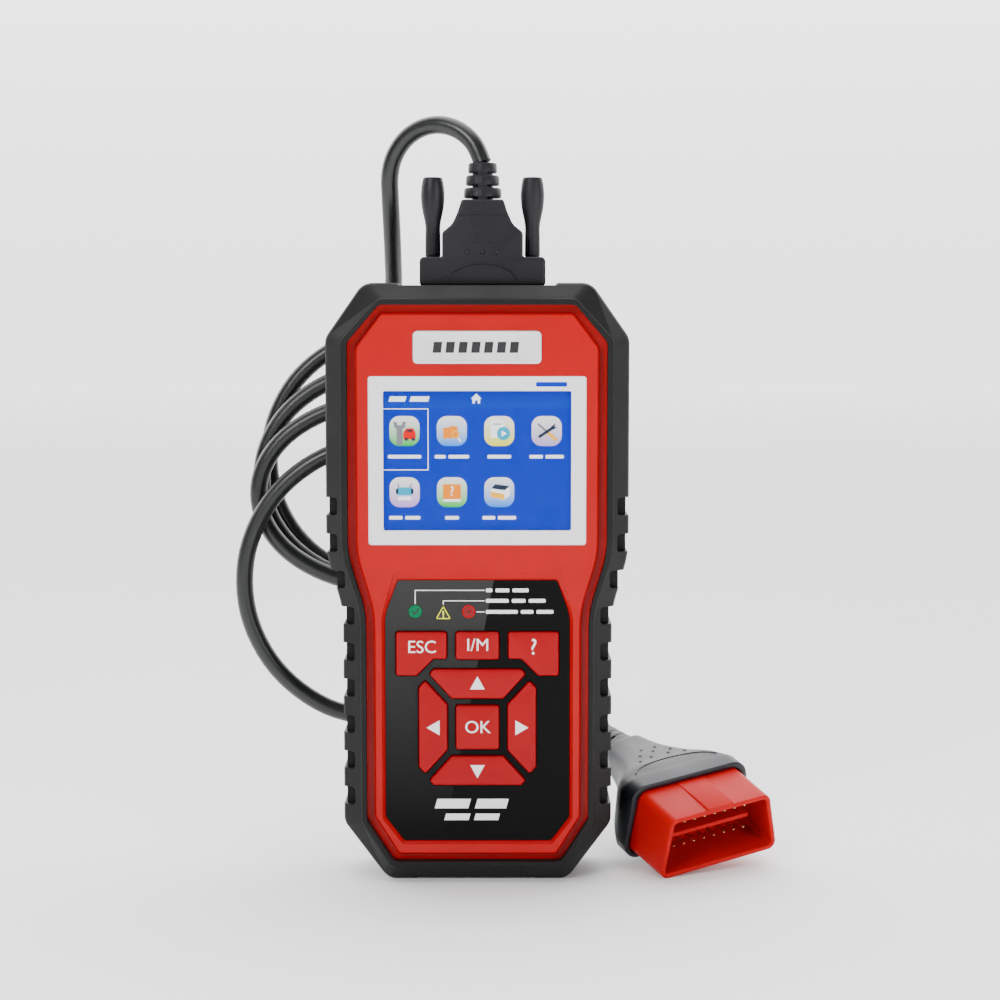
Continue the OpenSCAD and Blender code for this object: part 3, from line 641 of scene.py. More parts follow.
def obd_pins():
    """Two rows of eight flat contacts."""
    pins = []
    for row in PIN_ROWS:
        for i in range(8):
            x = (i - 3.5) * PIN_PITCH
            body = [(-0.72, -0.42), (0.72, -0.42), (0.72, 0.42), (-0.72, 0.42)]
            rings = [[Vector((x + sx * f, y, row + sz * f)) for sx, sz in body]
                     for y, f in ((PIN_DEPTH, 0.35), (PIN_DEPTH + 0.5, 0.8), (PIN_DEPTH + 1.4, 1.0),
                                  (NOSE_L + 3.6, 1.0))]
            pins.append(loft_mesh(rings))
    return new_object("obd_plug_pins", turned(joined(pins), TO_MOUTH), "gold",
                      replaces=("obd_pins",), smooth=30)


# rows of the back shell: distance behind its front rim, width at foot and top, height, corner radius
SHELL_ROWS = [
    (0, 52, 44, 26.6, 6), (0.5, 53, 45, 27.6, 6), (6.5, 53, 45, 27.6, 6), (9, 51, 44.5, 27, 7),
    (14, 45, 41, 26, 8), (20, 34.5, 33, 23.2, 8), (26, 27, 26, 21, 7.5), (32, 22, 21.5, 18.6, 7),
    (38, 19, 18.5, 16.6, 6.5), (44, 17, 16.5, 15, 6),
]
SHELL_STEPS = 5
GRIP_DOTS = [(-9, 38.5), (-3.5, 40.5), (3.5, 40.5), (9, 38.5), (-6.2, 43.5), (0, 45), (6.2, 43.5),
             (-2.8, 48.5), (2.8, 48.5)]


def shell_sections():
    """The rows of the back shell, with smooth sections between those behind its straight rim."""
    rim, waist = SHELL_ROWS[:2], SHELL_ROWS[2:]
    sizes = smooth_line([row[:4] for row in waist], SHELL_STEPS)
    radii = [a[4] + (b[4] - a[4]) * i / SHELL_STEPS
             for a, b in zip(waist, waist[1:]) for i in range(SHELL_STEPS)]
    return rim + [(*size, r) for size, r in zip(sizes, radii)]


def shell_height(y):
    """The height of the back shell at y behind the plug's mouth."""
    s = y - SHELL_FRONT
    for a, b in zip(SHELL_ROWS, SHELL_ROWS[1:]):
        if a[0] <= s < b[0]:
            return a[3] + (b[3] - a[3]) * (s - a[0]) / (b[0] - a[0])


def obd_backshell():
    """The black back shell, hollow round the nose, with grip dots on both broad sides."""
    pocket = inset(NOSE_OUTLINE, -0.9)
    rings = [at_y(pocket, NOSE_L), at_y(pocket, SHELL_FRONT + 0.3),
             at_y(inset(pocket, -0.3), SHELL_FRONT)]
    rings += [at_y(trapezium(wide, narrow, h, r), SHELL_FRONT + s)
              for s, wide, narrow, h, r in shell_sections()]
    last = trapezium(*SHELL_ROWS[-1][1:])
    rings += [at_y(last, SHELL_FRONT + 43.4), at_y(inset(last, 0.6), SHELL_FRONT + 44)]
    parts = [loft_mesh(rings)]
    for side, angle in ((1, 0), (-1, pi)):
        for x, y in GRIP_DOTS:
            dot = lathe_mesh([(0.75, -0.8), (0.75, 0.0), (0.6, 0.25), (0.3, 0.38), (0.1, 0.4)], 16)
            place = Vector((x, y, side * (shell_height(y) / 2 - 0.1))) * MM
            parts.append(turned(dot, Matrix.Translation(place) @ Matrix.Rotation(angle, 4, "Y")))
    return new_object("obd_plug_backshell", turned(joined(parts), TO_MOUTH), "shell",
                      replaces=("obd_backshell",), smooth=45)


def label_arch():
    """A raised curved rim round the blank label field on the back shell."""
    places = []
    for i in range(25):
        t = -1 + 2 * i / 24
        y = 27.2 + 8.2 * sqrt(1 - t * t * 0.94)
        place = Vector((16.5 * t, y, shell_height(y) / 2 + 0.02))
        places.append((TO_MOUTH @ (place * MM)) / MM)
    return curve_object("obd_label_rim", places, 0.28, "shell", resolution=3)


def finned_relief(name, length, fins, core, node, matrix, material):
    """A strain relief along +Z: a core with rings that narrow away from the plug."""
    step = length / len(fins)
    stem = [(core - 0.3, 0), (core, 0.4), (core, length - 0.5), (core - 0.45, length)]
    parts = [lathe_mesh(stem, 40)]
    for i, width in enumerate(fins):
        r, z0, z1 = width / 2, step * i + 0.18 * step, step * i + 0.98 * step
        ring = [(core - 0.4, z0), (r - 0.35, z0), (r, z0 + 0.35), (r - 0.1, z1 - 0.5), (r - 0.55, z1),
                (core - 0.4, z1)]
        parts.append(lathe_mesh(ring, 40))
        for angle in (0, pi):
            spine = box_mesh((-1.5, 0, step * i), (1.5, r - 0.25, step * (i + 1)))
            parts.append(turned(spine, Matrix.Rotation(angle, 4, "Z")))
    return new_object(name, turned(joined(parts), matrix), material, replaces=(node,), smooth=40)


nose = obd_nose()
pins = obd_pins()
backshell = obd_backshell()
rim = label_arch()
obd_relief = finned_relief("obd_plug_relief", OBD_RELIEF_L, [12.8, 11.6, 10.4, 9.2], 3.45,
                           "obd_strain_relief",
                           TO_MOUTH @ Matrix.Translation(Vector((0, NOSE_L + SHELL_L, 0)) * MM)
                           @ Matrix.Rotation(-pi / 2, 4, "X"), "shell")
top_relief = finned_relief("cable_plug_relief", RELIEF_Z - COLLAR_Z, [12.6, 11.3, 9.7], 3.45,
                           "cable_strain_relief",
                           Matrix.Translation(Vector((PLUG_X, PLUG_Y, COLLAR_Z)) * MM), "hood")

TIE_AT = (11.6, 36.6)
TIE_OUTER, TIE_INNER = (14.8, 31.2, 3.9), (12.2, 28.6, 2.6)
TIE_LOW, TIE_HIGH = 119.5, 129.5


def at_z(outline, z):
    return [Vector((p[0], p[1], z)) for p in outline]


def cable_tie():
    """A hook and loop band round the turns, with its end flap."""
    outer = box_outline(*TIE_OUTER, TIE_AT, 8)
    inner = box_outline(*TIE_INNER, TIE_AT, 8)
    rings = [at_z(outer, TIE_LOW + 0.3), at_z(outer, TIE_HIGH - 0.3), at_z(inset(outer, 0.3), TIE_HIGH),
             at_z(inner, TIE_HIGH), at_z(inner, TIE_LOW), at_z(inset(outer, 0.3), TIE_LOW)]
    band = loft_mesh(rings, closed=True)
    flap = box_mesh((18.9, 27, TIE_LOW + 0.6), (19.4, 46, TIE_HIGH - 0.6))
    return new_object("cable_tie_strap", joined([band, flap]), "strap",
                      replaces=("cable_tie",), smooth=40)


tie = cable_tie()

# ---- Plates and marks ----


def plate_mesh(outline, y0, y1):
    """A thin flat plate of any outline between two depths."""
    n = len(outline)
    points = at_y(outline, y0) + at_y(outline, y1)
    faces = [tuple(range(n)), tuple(reversed(range(n, 2 * n)))]
    faces += [(i, i + n, (i + 1) % n + n, (i + 1) % n) for i in range(n)]
    return mesh_from(points, faces)


def ring_mesh(outer, inner, y0, y1):
    rings = [at_y(outer, y0), at_y(inner, y0), at_y(inner, y1), at_y(outer, y1)]
    return loft_mesh(rings, closed=True)


def polygon(*points):
    return [Vector(p) for p in points]


def stroke(a, b, width):
    """The outline of a straight bar from a to b."""
    a, b = Vector(a), Vector(b)
    side = Vector((a.y - b.y, b.x - a.x)).normalized() * width / 2
    return [a - side, b - side, b + side, a + side]


def slanted(x0, x1, z0, z1, lean=0.28):
    """A bar from x0 to x1 whose ends lean to the right."""
    rise = (z1 - z0) * lean
    return polygon((x0, z0), (x1 - rise, z0), (x1, z1), (x0 + rise, z1))


def legend_mesh(words, height, at, y0, y1):
    """A short key legend in the plain built-in typeface, centred, as a thin plate."""
    data = bpy.data.curves.new("legend", "FONT")
    data.body = words
    data.align_x = "CENTER"
    data.align_y = "CENTER"
    data.size = height * MM
    data.resolution_u = 5
    data.extrude = (y1 - y0) / 2 * MM
    obj = linked("legend", data)
    bpy.context.view_layer.update()
    mesh = bpy.data.meshes.new_from_object(obj.evaluated_get(bpy.context.evaluated_depsgraph_get()))
    bpy.data.objects.remove(obj)
    mesh.transform(Matrix.Translation(Vector((at[0], (y0 + y1) / 2, at[1])) * MM)
                   @ Matrix.Rotation(pi / 2, 4, "X"))
    mesh.materials.clear()
    return mesh


def marks(name, material, meshes, replaces=(), body=ROOT):
    """Flat printed marks as one flat shaded piece."""
    return new_object(name, joined(meshes), material, body=body, replaces=replaces, smooth=0)


# ---- CAD nodes that keep their own shape ----


def dress(node, material):
    """Gives a CAD node its material, and shades its round faces smooth."""
    mesh = bpy.data.objects[node].data
    mesh.materials.clear()
    mesh.materials.append(MAT[material])
    smoothed(mesh, 32)


for node, material in {
    "rubber_boot": "boot", "front_housing": "red", "rear_housing": "rear", "case_screws": "tin",
    "screen_bezel": "bezel", "display_panel": "lcd", "display_backlight": "white_pack",
    "display_ribbon": "film", "keypad_overlay": "overlay", "keypad_mat": "mat",
    "status_leds": "white_pack", "main_board": "board", "processor_chips": "ic",
    "board_capacitors": "ic", "crystal": "tin", "beeper": "ic", "board_socket": "ic",
    "socket_jack_nuts": "tin", "plug_metal_shell": "tin", "plug_insert": "ic", "plug_pins": "gold",
    "obd_pin_carrier": "obd_red",
}.items():
    dress(node, material)

# ---- Keys ----

KEYS = {
    "key_esc": [(-27, 69.7), (-20.2, 69.7), (-14.6, 75.3), (-10.2, 75.3), (-10.2, 84.3), (-27, 84.3)],
    "key_im": [(-7.2, 75.1), (7.2, 75.1), (7.2, 84.3), (-7.2, 84.3)],
    "key_help": [(10.2, 75.3), (14.6, 75.3), (20.2, 69.7), (27, 69.7), (27, 84.3), (10.2, 84.3)],
    "key_up": [(-8.6, 62), (8.6, 62), (16, 70.2), (14.6, 71.8), (-14.6, 71.8), (-16, 70.2)],
    "key_down": [(-14.6, 32.8), (14.6, 32.8), (16, 34.4), (8.6, 42.6), (-8.6, 42.6), (-16, 34.4)],
    "key_left": [(-17.4, 36.6), (-10, 44.7), (-10, 60), (-17.4, 68), (-19.5, 65.6), (-19.5, 39)],
    "key_right": [(19.5, 39), (19.5, 65.6), (17.4, 68), (10, 60), (10, 44.7), (17.4, 36.6)],
    "key_ok": [(-7.2, 44.9), (7.2, 44.9), (7.2, 59.7), (-7.2, 59.7)],
}
KEY_MARKS = {
    "key_esc": ("ESC", 5.9, (-18.4, 79.2)), "key_im": ("I/M", 5.9, (0.1, 79.9)),
    "key_help": ("?", 7.6, (18.6, 79.2)), "key_ok": ("OK", 5.9, (0.1, 52.3)),
}
ARROWS = {
    "key_up": [(-2.4, 65.2), (2.4, 65.2), (0, 69.6)],
    "key_down": [(0, 35.3), (2.4, 39.7), (-2.4, 39.7)],
    "key_left": [(-16.9, 52.3), (-12.6, 49.8), (-12.6, 54.8)],
    "key_right": [(12.6, 49.8), (16.9, 52.3), (12.6, 54.8)],
}
KEY_CORNER, KEY_EDGE = 0.9, 0.8


def add_key(node, corners):
    """A key's cap with its flange, and the mark on its front."""
    outline = rounded([(x, z, KEY_CORNER) for x, z in corners], 6)
    rings = round_edge(outline, KEY_FRONT, KEY_EDGE, 5)
    rings += [at_y(outline, KEY_FLANGE - 0.05), at_y(inset(outline, -0.8), KEY_FLANGE),
              at_y(inset(outline, -0.8), KEY_FLANGE + 0.8)]
    body = node + "_body"
    new_object(node + "_cap", loft_mesh(rings), "key", body=body, replaces=(node,), smooth=50)
    if node in KEY_MARKS:
        words, height, at = KEY_MARKS[node]
        mark = legend_mesh(words, height, at, KEY_FRONT - 0.04, KEY_FRONT + 0.1)
    else:
        mark = plate_mesh(polygon(*ARROWS[node]), KEY_FRONT - 0.04, KEY_FRONT + 0.1)
    marks(node + "_legend", "legend", [mark], body=body)


for node, corners in KEYS.items():
    add_key(node, corners)

# ---- Lamps and the print on the overlay ----

PRINT = (OVERLAY - 0.04, OVERLAY + 0.05)
LAMP = (OVERLAY - 0.15, OVERLAY + 2)
LAMP_MARK = (OVERLAY - 0.21, OVERLAY - 0.05)
LAMP_Z, LAMP_R = 91.0, 2.2
GREEN_X, YELLOW_X, RED_X = -20.6, -11.3, -2.9
LEADER_W = 0.3
CAPTION_X = 2.2


def add_green_lamp():
    x, z = GREEN_X, LAMP_Z
    marks("green_lamp", "lamp_green", [plate_mesh(circle(x, z, LAMP_R), *LAMP)], ("lamp_green",))
    tick = [stroke((x - 1.1, z + 0.1), (x - 0.2, z - 0.9), 0.42),
            stroke((x - 0.35, z - 0.9), (x + 1.2, z + 1.0), 0.42)]
    marks("green_lamp_tick", "ink", [plate_mesh(t, *LAMP_MARK) for t in tick])


def add_yellow_lamp():
    x = YELLOW_X
    outer = rounded([(x + 2.9 * cos(a), 90 + 2.9 * sin(a), 0.3)
                     for a in (radians(210), radians(330), radians(90))], 4)
    marks("yellow_lamp", "lamp_yellow",
          [ring_mesh(outer, inset(outer, 0.27), *LAMP),
           plate_mesh(stroke((x, 89.7), (x, 91.2), 0.45), *LAMP),
           plate_mesh(circle(x, 89.15, 0.28, 12), *LAMP)], ("lamp_yellow",))
    ground = plate_mesh(inset(outer, 0.2), LAMP[0] + 0.08, LAMP[1])
    marks("yellow_lamp_ground", "ink", [ground])


def add_red_lamp():
    x, z = RED_X, LAMP_Z
    marks("red_lamp", "lamp_red", [plate_mesh(circle(x, z, LAMP_R), *LAMP)], ("lamp_red",))
    cross = [ring_mesh(circle(x, z, 1.55), circle(x, z, 1.25), *LAMP_MARK)]
    cross += [plate_mesh(stroke((x - 0.7, z - rise), (x + 0.7, z + rise), 0.35), *LAMP_MARK)
              for rise in (0.7, -0.7)]
    marks("red_lamp_cross", "ink", cross)


def leader_bar(a, b):
    """One straight of a leader line, drawn on by half a width to fill its corner."""
    past = LEADER_W / 2
    end = (b[0] + (past if b[1] == a[1] else 0), b[1] + (past if b[0] == a[0] else 0))
    return stroke(a, end, LEADER_W)


def add_overlay_print():
    """Leader lines from the lamps, plain bars where captions stand, and bars at the foot."""
    paths = [[(GREEN_X, 93.6), (GREEN_X, 98.1), (CAPTION_X, 98.1)],
             [(YELLOW_X, 93.3), (YELLOW_X, 94.6), (CAPTION_X, 94.6)],
             [(-0.3, 90.9), (CAPTION_X, 90.9)]]
    lines = [leader_bar(a, b) for path in paths for a, b in zip(path, path[1:])]
    captions = {98.1: [(2.8, 5.0), (6.0, 10.6), (11.6, 17.0)],
                94.6: [(2.8, 10.4), (11.4, 16.0), (17.0, 22.6)],
                90.9: [(2.8, 13.4), (14.4, 18.6), (19.6, 25.2)]}
    bars = [box_outline(b - a, 1.25, 0.4, ((a + b) / 2, z), 3) for z, row in captions.items()
            for a, b in row]
    marks("overlay_lines", "legend", [plate_mesh(s, *PRINT) for s in lines + bars])
    foot = [(-14.3, -2.2, 24.7, 27.9), (-0.9, 10.4, 24.7, 27.9), (-11.1, -2.4, 20.7, 22.9),
            (-1.2, 7.5, 20.7, 22.9)]
    marks("overlay_foot_bars", "legend", [plate_mesh(slanted(*f), *PRINT) for f in foot])


add_green_lamp()
add_yellow_lamp()
add_red_lamp()
add_overlay_print()

# ---- Nameplate ----

PLATE_Z, PLATE_W, PLATE_H = 178.4, 42.2, 10.8


def add_nameplate():
    """A white plate with a raised rim, and plain blocks where a name would stand."""
    front = FACE - 0.3
    outline = box_outline(PLATE_W, PLATE_H, 1.6, (0, PLATE_Z), 6)
    rings = [at_y(inset(outline, 1.45), front + 0.28), at_y(inset(outline, 1.2), front + 0.22),
             at_y(inset(outline, 0.9), front + 0.02), at_y(inset(outline, 0.6), front),
             at_y(inset(outline, 0.25), front + 0.06), at_y(outline, front + 0.35),
             at_y(outline, FACE + 0.8)]
    new_object("nameplate_frame", loft_mesh(rings), "plate", replaces=("nameplate",), smooth=30)
    blocks = [slanted(-14.6 + 4.2 * i, -11.4 + 4.2 * i, PLATE_Z - 1.8, PLATE_Z + 1.8, 0.12)
              for i in range(7)]
    marks("nameplate_blocks", "ink", [plate_mesh(b, front + 0.2, front + 0.4) for b in blocks])


add_nameplate()

# ---- Display ----

LCD_W, LCD_H = 61.9, 46.0
LCD_X = -0.3
LCD_LEFT, LCD_TOP = LCD_X - LCD_W / 2, SCREEN_Z + LCD_H / 2
ICON = 9.9
ICON_PITCH = 15.6
ICON_X0 = LCD_X - 23.65
ROWS = (150.9, 130.7)


def layer(level):
    """Front and back depths of a level of the picture, one in front of the other."""
    front = DISPLAY - 0.06 * (level + 1)
    return front, front + 0.075


def icon_centre(column, row):
    return ICON_X0 + ICON_PITCH * column, ROWS[row]


ICON_COLOURS = {
    (0, 0): (0.0, 0.50, 0.03), (1, 0): (0.0, 0.28, 0.90), (2, 0): (0.85, 0.80, 0.0),
    (3, 0): (0.45, 0.34, 0.65), (0, 1): (0.52, 0.30, 0.75), (1, 1): (0.0, 0.55, 0.04),
    (2, 1): (0.0, 0.25, 0.90),
}


def add_icon_grounds():
    """The rounded tiles behind the pictures, each fading to white at its top."""
    for (column, row), colour in ICON_COLOURS.items():
        x, z = icon_centre(column, row)
        name = f"icon_{row}_{column}"
        MAT[name] = lit_gradient(name, colour, (0.9, 0.9, 0.9), z - ICON / 2, z + ICON / 2, 0.22)
        marks(name, name, [plate_mesh(box_outline(ICON, ICON, 3.3, (x, z), 8), *layer(1))])


# pictures on the icons, by column and row: colour, level and outline about the icon's centre
PICTURES = {
    (0, 0): [  # a wrench beside a car
        ("grey", 2, stroke((-1.6, -4.6), (-1.6, 1.0), 1.9)),
        ("grey", 3, polygon((-3.6, 3.2), (-3.4, 1.2), (-1.6, 0.2), (0.2, 1.2), (0.4, 3.2), (-0.7, 2.9),
                            (-0.9, 1.9), (-2.3, 1.9), (-2.5, 2.9))),
        ("red", 4, rounded([(-0.4, -2.7, 0.4), (3.7, -2.7, 0.4), (3.7, -0.5, 0.8), (2.9, 0.9, 0.4),
                            (0.6, 0.9, 0.4), (-0.4, -0.5, 0.4)], 3)),
        ("dark", 5, box_outline(1.9, 0.7, 0.2, (1.7, 0.1), 2)),
        ("dark", 5, circle(0.6, -2.7, 0.55, 16)),
        ("dark", 5, circle(2.9, -2.7, 0.55, 16)),
    ],
    (1, 0): [  # a folder and the handle of a lens
        ("orange", 2, rounded([(-2.9, -2.6, 0.3), (1.9, -2.2, 0.3), (1.9, 1.5, 0.3), (-0.2, 1.7, 0.2),
                               (-0.9, 1.2, 0.2), (-2.9, 1.1, 0.3)], 3)),
        ("white", 3, stroke((2.1, -2.2), (3.0, -3.6), 0.5)),
    ],
    (2, 0): [  # a page and a disc with a play mark
        ("white", 2, box_outline(4.4, 5.6, 0.3, (-0.6, 0.6), 2)),
        ("grey", 3, box_outline(3.0, 0.35, 0.1, (-0.6, 2.3), 2)),
        ("cyan", 3, circle(1.4, -0.8, 2.2, 28)),
        ("white", 4, polygon((0.8, -1.8), (2.5, -0.8), (0.8, 0.2))),
    ],
    (3, 0): [  # a wrench and a screwdriver, crossed
        ("grey", 2, stroke((-2.9, 2.4), (0.8, -0.9), 0.7)),
        ("gold", 3, stroke((0.5, -0.6), (3.2, -3.0), 1.1)),
        ("dark", 3, stroke((-2.6, -2.0), (2.2, 1.2), 0.9)),
        ("dark", 4, polygon((1.6, 0.3), (3.6, 1.2), (2.6, 1.4), (2.9, 2.6), (1.4, 1.4))),
    ],
    (0, 1): [  # a car from above, with its mirrors
        ("cyan", 2, box_outline(5.9, 2.6, 1.2, (0, 0.3), 5)),
        ("grey", 3, stroke((-1.9, 1.6), (-2.2, 2.9), 0.35)),
        ("grey", 3, stroke((1.9, 1.6), (2.2, 2.9), 0.35)),
        ("dark", 3, box_outline(0.8, 1.8, 0.4, (-2.5, 0.3), 3)),
        ("dark", 3, box_outline(0.8, 1.8, 0.4, (2.5, 0.3), 3)),
        ("white", 2, polygon((-2.4, -2.6), (2.4, -2.6), (1.9, -1.5), (-1.9, -1.5))),
    ],
    (1, 1): [  # a book
        ("orange", 2, box_outline(5.9, 4.9, 0.4, (0, 0.2), 3)),
        ("white", 3, box_outline(5.9, 0.8, 0.3, (0, -2.7), 3)),
    ],
    (2, 1): [  # an open box
        ("dark", 3, polygon((-2.6, 1.3), (1.8, 0.7), (3.4, 2.0), (-1.4, 2.7))),
        ("white", 2, polygon((-2.9, -1.6), (1.7, -2.6), (1.9, 0.6), (-2.8, 1.2))),
        ("gold", 3, polygon((-2.8, -1.6), (1.7, -2.5), (1.7, -0.6), (-2.8, 0.2))),
        ("white", 2, polygon((1.8, -2.4), (3.5, -1.0), (3.4, 1.8), (1.9, 0.6))),
    ],
}


def add_glyphs():
    """The pictures on the icons, one piece for each colour."""
    colours = ("grey", "red", "orange", "cyan", "white", "dark", "gold")
    meshes = {colour: [] for colour in colours}
    for place, shapes in PICTURES.items():
        centre = Vector(icon_centre(*place))
        for colour, level, outline in shapes:
            meshes[colour].append(plate_mesh([p + centre for p in outline], *layer(level)))
    x, z = icon_centre(1, 0)
    outer, inner = (circle(x + 1.2, z - 1.1, r, 20) for r in (1.3, 0.85))
    meshes["gold"].append(ring_mesh(outer, inner, *layer(3)))
    x, z = icon_centre(1, 1)
    meshes["white"].append(legend_mesh("?", 4.6, (x, z + 0.2), *layer(3)))
    for colour in colours:
        marks("glyphs_" + colour, "ui_" + colour, meshes[colour])


TITLE_H = 5.5
CAPTION_DROP, WORD_GAP = 8.45, 0.9
# widths of the bars that stand for the words under each icon
CAPTIONS = {(0, 0): [11.0], (1, 0): [3.6, 6.8], (2, 0): [7.8], (3, 0): [4.4, 6.0],
            (0, 1): [4.4, 5.0], (1, 1): [4.6], (2, 1): [4.2, 6.0]}


def caption_bars():
    bars = []
    for place, words in CAPTIONS.items():
        x, z = icon_centre(*place)
        left = x - (sum(words) + WORD_GAP * (len(words) - 1)) / 2
        for width in words:
            bars.append(box_outline(width, 1.15, 0.35, (left + width / 2, z - CAPTION_DROP), 3))
            left += width + WORD_GAP
    return bars


def add_screen_print():
    """Title bar, home mark, selection frame and the plain bars that stand for captions."""
    left, right = LCD_LEFT + 0.05, LCD_LEFT + LCD_W - 0.05
    low, high = LCD_TOP - TITLE_H, LCD_TOP - 0.05
    bar = polygon((left, low), (right, low), (right, high), (left, high))
    MAT["ui_title"] = lit_gradient("display_title", (0.0, 0.038, 0.46), (0.0, 0.016, 0.34),
                                   low, LCD_TOP, 0.30)
    marks("display_title_bar", "ui_title", [plate_mesh(bar, *layer(0))])
    x, z = LCD_X, LCD_TOP - 2.6
    home = polygon((-1.75, 0), (0, 1.75), (1.75, 0), (1.25, 0), (1.25, -1.5), (0.45, -1.5), (0.45, -0.5),
                   (-0.45, -0.5), (-0.45, -1.5), (-1.25, -1.5), (-1.25, 0))
    white = [[p + Vector((x, z)) for p in home],
             slanted(LCD_LEFT + 2.1, LCD_LEFT + 8.0, z - 0.9, z + 0.8),
             slanted(LCD_LEFT + 9.0, LCD_LEFT + 15.6, z - 0.9, z + 0.8)] + caption_bars()
    meshes = [plate_mesh(s, *layer(1)) for s in white]
    frame_outer = box_outline(15.6, 20.4, 0.1, (ICON_X0 + 0.1, ROWS[0] - 2.75), 1)
    meshes.append(ring_mesh(frame_outer, inset(frame_outer, 0.28), *layer(1)))
    marks("display_white_print", "ui_white", meshes)


def add_lens():
    """The clear window, thin and set proud of the picture."""
    s = Shader("lens_clear", Alpha=0.06, Roughness=0.05)
    s.feed("Base Color", s.ramp(s.noise(60), [(0.3, (0.02, 0.02, 0.025)), (0.7, (0.03, 0.03, 0.04))]))
    MAT["lens"] = s.material
    outline = box_outline(LCD_W, LCD_H, 0.4, (LCD_X, SCREEN_Z), 4)
    marks("display_window", "lens", [slab_mesh(outline, DISPLAY - 0.8, DISPLAY - 0.6)],
          ("screen_lens",))


add_icon_grounds()
add_glyphs()
add_screen_print()
add_lens()
BEZEL_BAR = box_outline(10.2, 1.5, 0.4, (24.4, SCREEN_Z + 25.2), 3)
marks("bezel_bar", "lcd", [plate_mesh(BEZEL_BAR, FACE + 0.16, FACE + 0.3)])

# ---- Cable plug at the top ----

HOOD_HALF = [
    (20.9, HOOD_Z, 1.0), (20.9, EAR_TOP, 1.6), (13.4, EAR_TOP, 0.6), (13.4, 216.2, 1.8), (10, 219, 5),
    (8.2, 223, 2), (6.9, COLLAR_Z, 1.1),
]
HOOD_FRONT, HOOD_BACK = PLUG_Y - 7.5, PLUG_Y + 7.5
HOOD_EDGE = 0.8
ARCH_HALF, ARCH_RISE, ARCH_Z = 11.6, 6.4, 199.6
STEP_HALF, STEP_RISE, STEP_Z = 7.6, 0.5, 221.9
HOOD_DOTS = ((-2.5, 213.7), (2.5, 213.7), (-5, 209.7), (0, 209.7), (5, 209.7))
DOT_PROFILE = [(0.85, -0.6), (0.85, 0.05), (0.68, 0.27), (0.38, 0.38), (0.1, 0.4)]


def add_hood():
    """The moulded hood, with dots, an arch and a step line on its front and its back."""
    outline = [p + Vector((PLUG_X, 0)) for p in rounded(mirrored(HOOD_HALF), 8)]
    rings = round_edge(outline, HOOD_FRONT, HOOD_EDGE, 4) + [at_y(outline, HOOD_BACK - HOOD_EDGE)]
    rings += list(reversed(round_edge(outline, HOOD_BACK, HOOD_EDGE, 4, toward=-1)))[1:]
    parts = [loft_mesh(rings, hub=(PLUG_X, 206))]
    for face, y, side in (("front", HOOD_FRONT, 1), ("back", HOOD_BACK, -1)):
        turn = Matrix.Rotation(pi / 2 * side, 4, "X")
        for x, z in HOOD_DOTS:
            place = Matrix.Translation(Vector((PLUG_X + x, y, z)) * MM)
            parts.append(turned(lathe_mesh(DOT_PROFILE, 20), place @ turn))
        arch = [(PLUG_X + ARCH_HALF * cos(pi * i / 24), y - side * 0.02,
                 ARCH_Z + ARCH_RISE * sin(pi * i / 24)) for i in range(25)]
        curve_object(f"hood_arch_{face}", arch, 0.32, "hood", resolution=3)
        step = [(PLUG_X + STEP_HALF * t, y, STEP_Z + STEP_RISE * (1 - t * t))
                for t in [-1 + i / 8 for i in range(17)]]
        curve_object(f"hood_step_{face}", step, 0.3, "hood", resolution=3)
    new_object("cable_plug_cover", joined(parts), "hood", replaces=("cable_plug_hood",), smooth=40)


SCREW_PROFILE = [
    (2.1, 208.25), (2.35, 208.4), (2.55, 208.9), (2.5, 215.4), (2.44, 217.2), (2.5, 218.6),
    (2.72, 220.2), (3.1, 222), (3.42, 223.4), (3.66, 224.8), (3.84, 226.3), (3.95, 228.2),
    (3.95, 229.4), (3.8, 231.2), (3.55, 232.9), (3.36, 234), (3.15, 234.5), (2.8, 234.7),
]
SLOT_HALF, SLOT_FLOOR = 0.55, 233.3
GROOVES, GROOVE_AT = 14, 2.68
GROOVE_PROFILE = [(0.28, 209.6), (0.28, 216.6)]


def add_thumbscrew(side, x):
    """A turned thumbscrew with a driver slot in its end and grip grooves round its waist."""
    mesh = lathe_mesh(SCREW_PROFILE, 64, (x, PLUG_Y))
    body = side + "_thumbscrew_body"
    obj = new_object(side + "_thumbscrew_grip", mesh, "hood", body=body,
                     replaces=(side + "_thumbscrew",), smooth=40)
    cutters = [box_mesh((x - 5, PLUG_Y - SLOT_HALF, SLOT_FLOOR), (x + 5, PLUG_Y + SLOT_HALF, 236))]
    cutters += [lathe_mesh(GROOVE_PROFILE, 10, centre)
                for centre in circle(x, PLUG_Y, GROOVE_AT, GROOVES)]
    cut(obj, cutters)


add_hood()
add_thumbscrew("left", PLUG_X - SCREW_REACH)
add_thumbscrew("right", PLUG_X + SCREW_REACH)

# ---- Back label ----

REAR = 16.6
LABEL_W, LABEL_H, LABEL_Z = 52, 68, 105
LABEL_PRINT = (REAR + 0.1, REAR + 0.17)


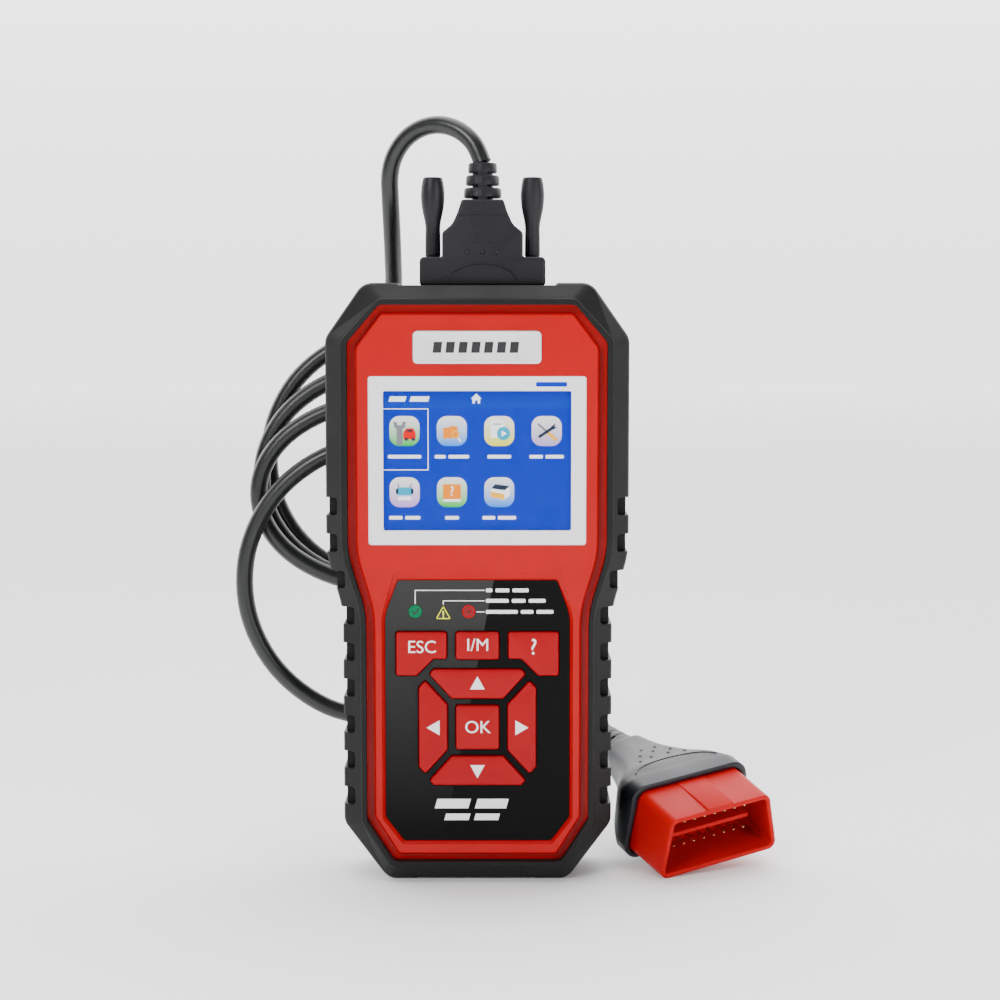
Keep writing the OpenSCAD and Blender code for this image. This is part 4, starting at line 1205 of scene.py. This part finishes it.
def add_back_label():
    """A plain label with bars for its lines of print and an empty frame."""
    outline = box_outline(LABEL_W, LABEL_H, 2, (0, LABEL_Z), 6)
    new_object("rear_label", slab_mesh(outline, REAR - 0.05, REAR + 0.12), "label", smooth=30)
    bars = [box_outline(w, 1.6, 0.4, (-21 + w / 2, 132 - 5.2 * i), 3)
            for i, w in enumerate((30, 42, 38, 24, 40, 34))]
    field = box_outline(42, 22, 1, (0, 86), 4)
    meshes = [plate_mesh(b, *LABEL_PRINT) for b in bars]
    meshes.append(ring_mesh(field, inset(field, 0.5), *LABEL_PRINT))
    marks("rear_label_print", "ink", meshes)


add_back_label()

# ---- Floor and light ----

FLOOR_HALF = 6
# how far behind the reader the floor starts to glow, and where the glow is full
GLOW_FROM, GLOW_FULL, GLOW = 0.5, 5.0, 0.83


def add_floor():
    """White paper; its far part glows a little, so that it meets the backdrop without an edge."""
    bm = bmesh.new()
    bmesh.ops.create_grid(bm, x_segments=1, y_segments=1, size=FLOOR_HALF)
    mesh = mesh_of(bm)
    s = Shader("floor_paper", Roughness=0.9)
    s.feed("Base Color", s.ramp(s.noise(3), [(0.3, (0.90, 0.90, 0.90)), (0.7, (0.93, 0.93, 0.93))]))
    s.feed("Emission Strength", s.remap(s.place("Y"), 0.0, GLOW, GLOW_FROM, GLOW_FULL))
    mesh.materials.append(s.material)
    floor = linked("floor", mesh)
    floor.location = (0, 0, CAD_BOX[0][2])


def add_light(name, place, target, size, power):
    """A square lamp at place, facing target; metres and watts."""
    data = bpy.data.lights.new(name, "AREA")
    data.shape = "SQUARE"
    data.size = size
    data.energy = power
    light = linked(name, data)
    aim(light, place, target)


def add_world():
    """Bright above and behind the object, dark in front, as in a white studio cove."""
    world = bpy.data.worlds.new("studio")
    w = Nodes(world, "Generated")
    behind = w.remap(w.place("Y"), 0.02, 1.0, -0.15, 0.5, interpolation_type="SMOOTHSTEP")
    above = w.remap(w.place("Z"), 2.7, 5.0, 0.0, 0.4, interpolation_type="SMOOTHSTEP")
    background = w.tree.nodes["Background"]
    w.link(w.combine("MULTIPLY", behind, above), background.inputs["Strength"])
    background.inputs["Color"].default_value = (1, 1, 1, 1)
    bpy.context.scene.world = world


add_floor()
add_world()
add_light("key_light", (-0.7, -1.1, 0.9), (0, 0, 0.12), 0.55, 15)
add_light("fill_light", (0.9, -1.0, 0.45), (0, 0, 0.1), 0.6, 8)
add_light("top_light", (0.0, -0.1, 1.3), (0, 0, 0), 0.9, 9)
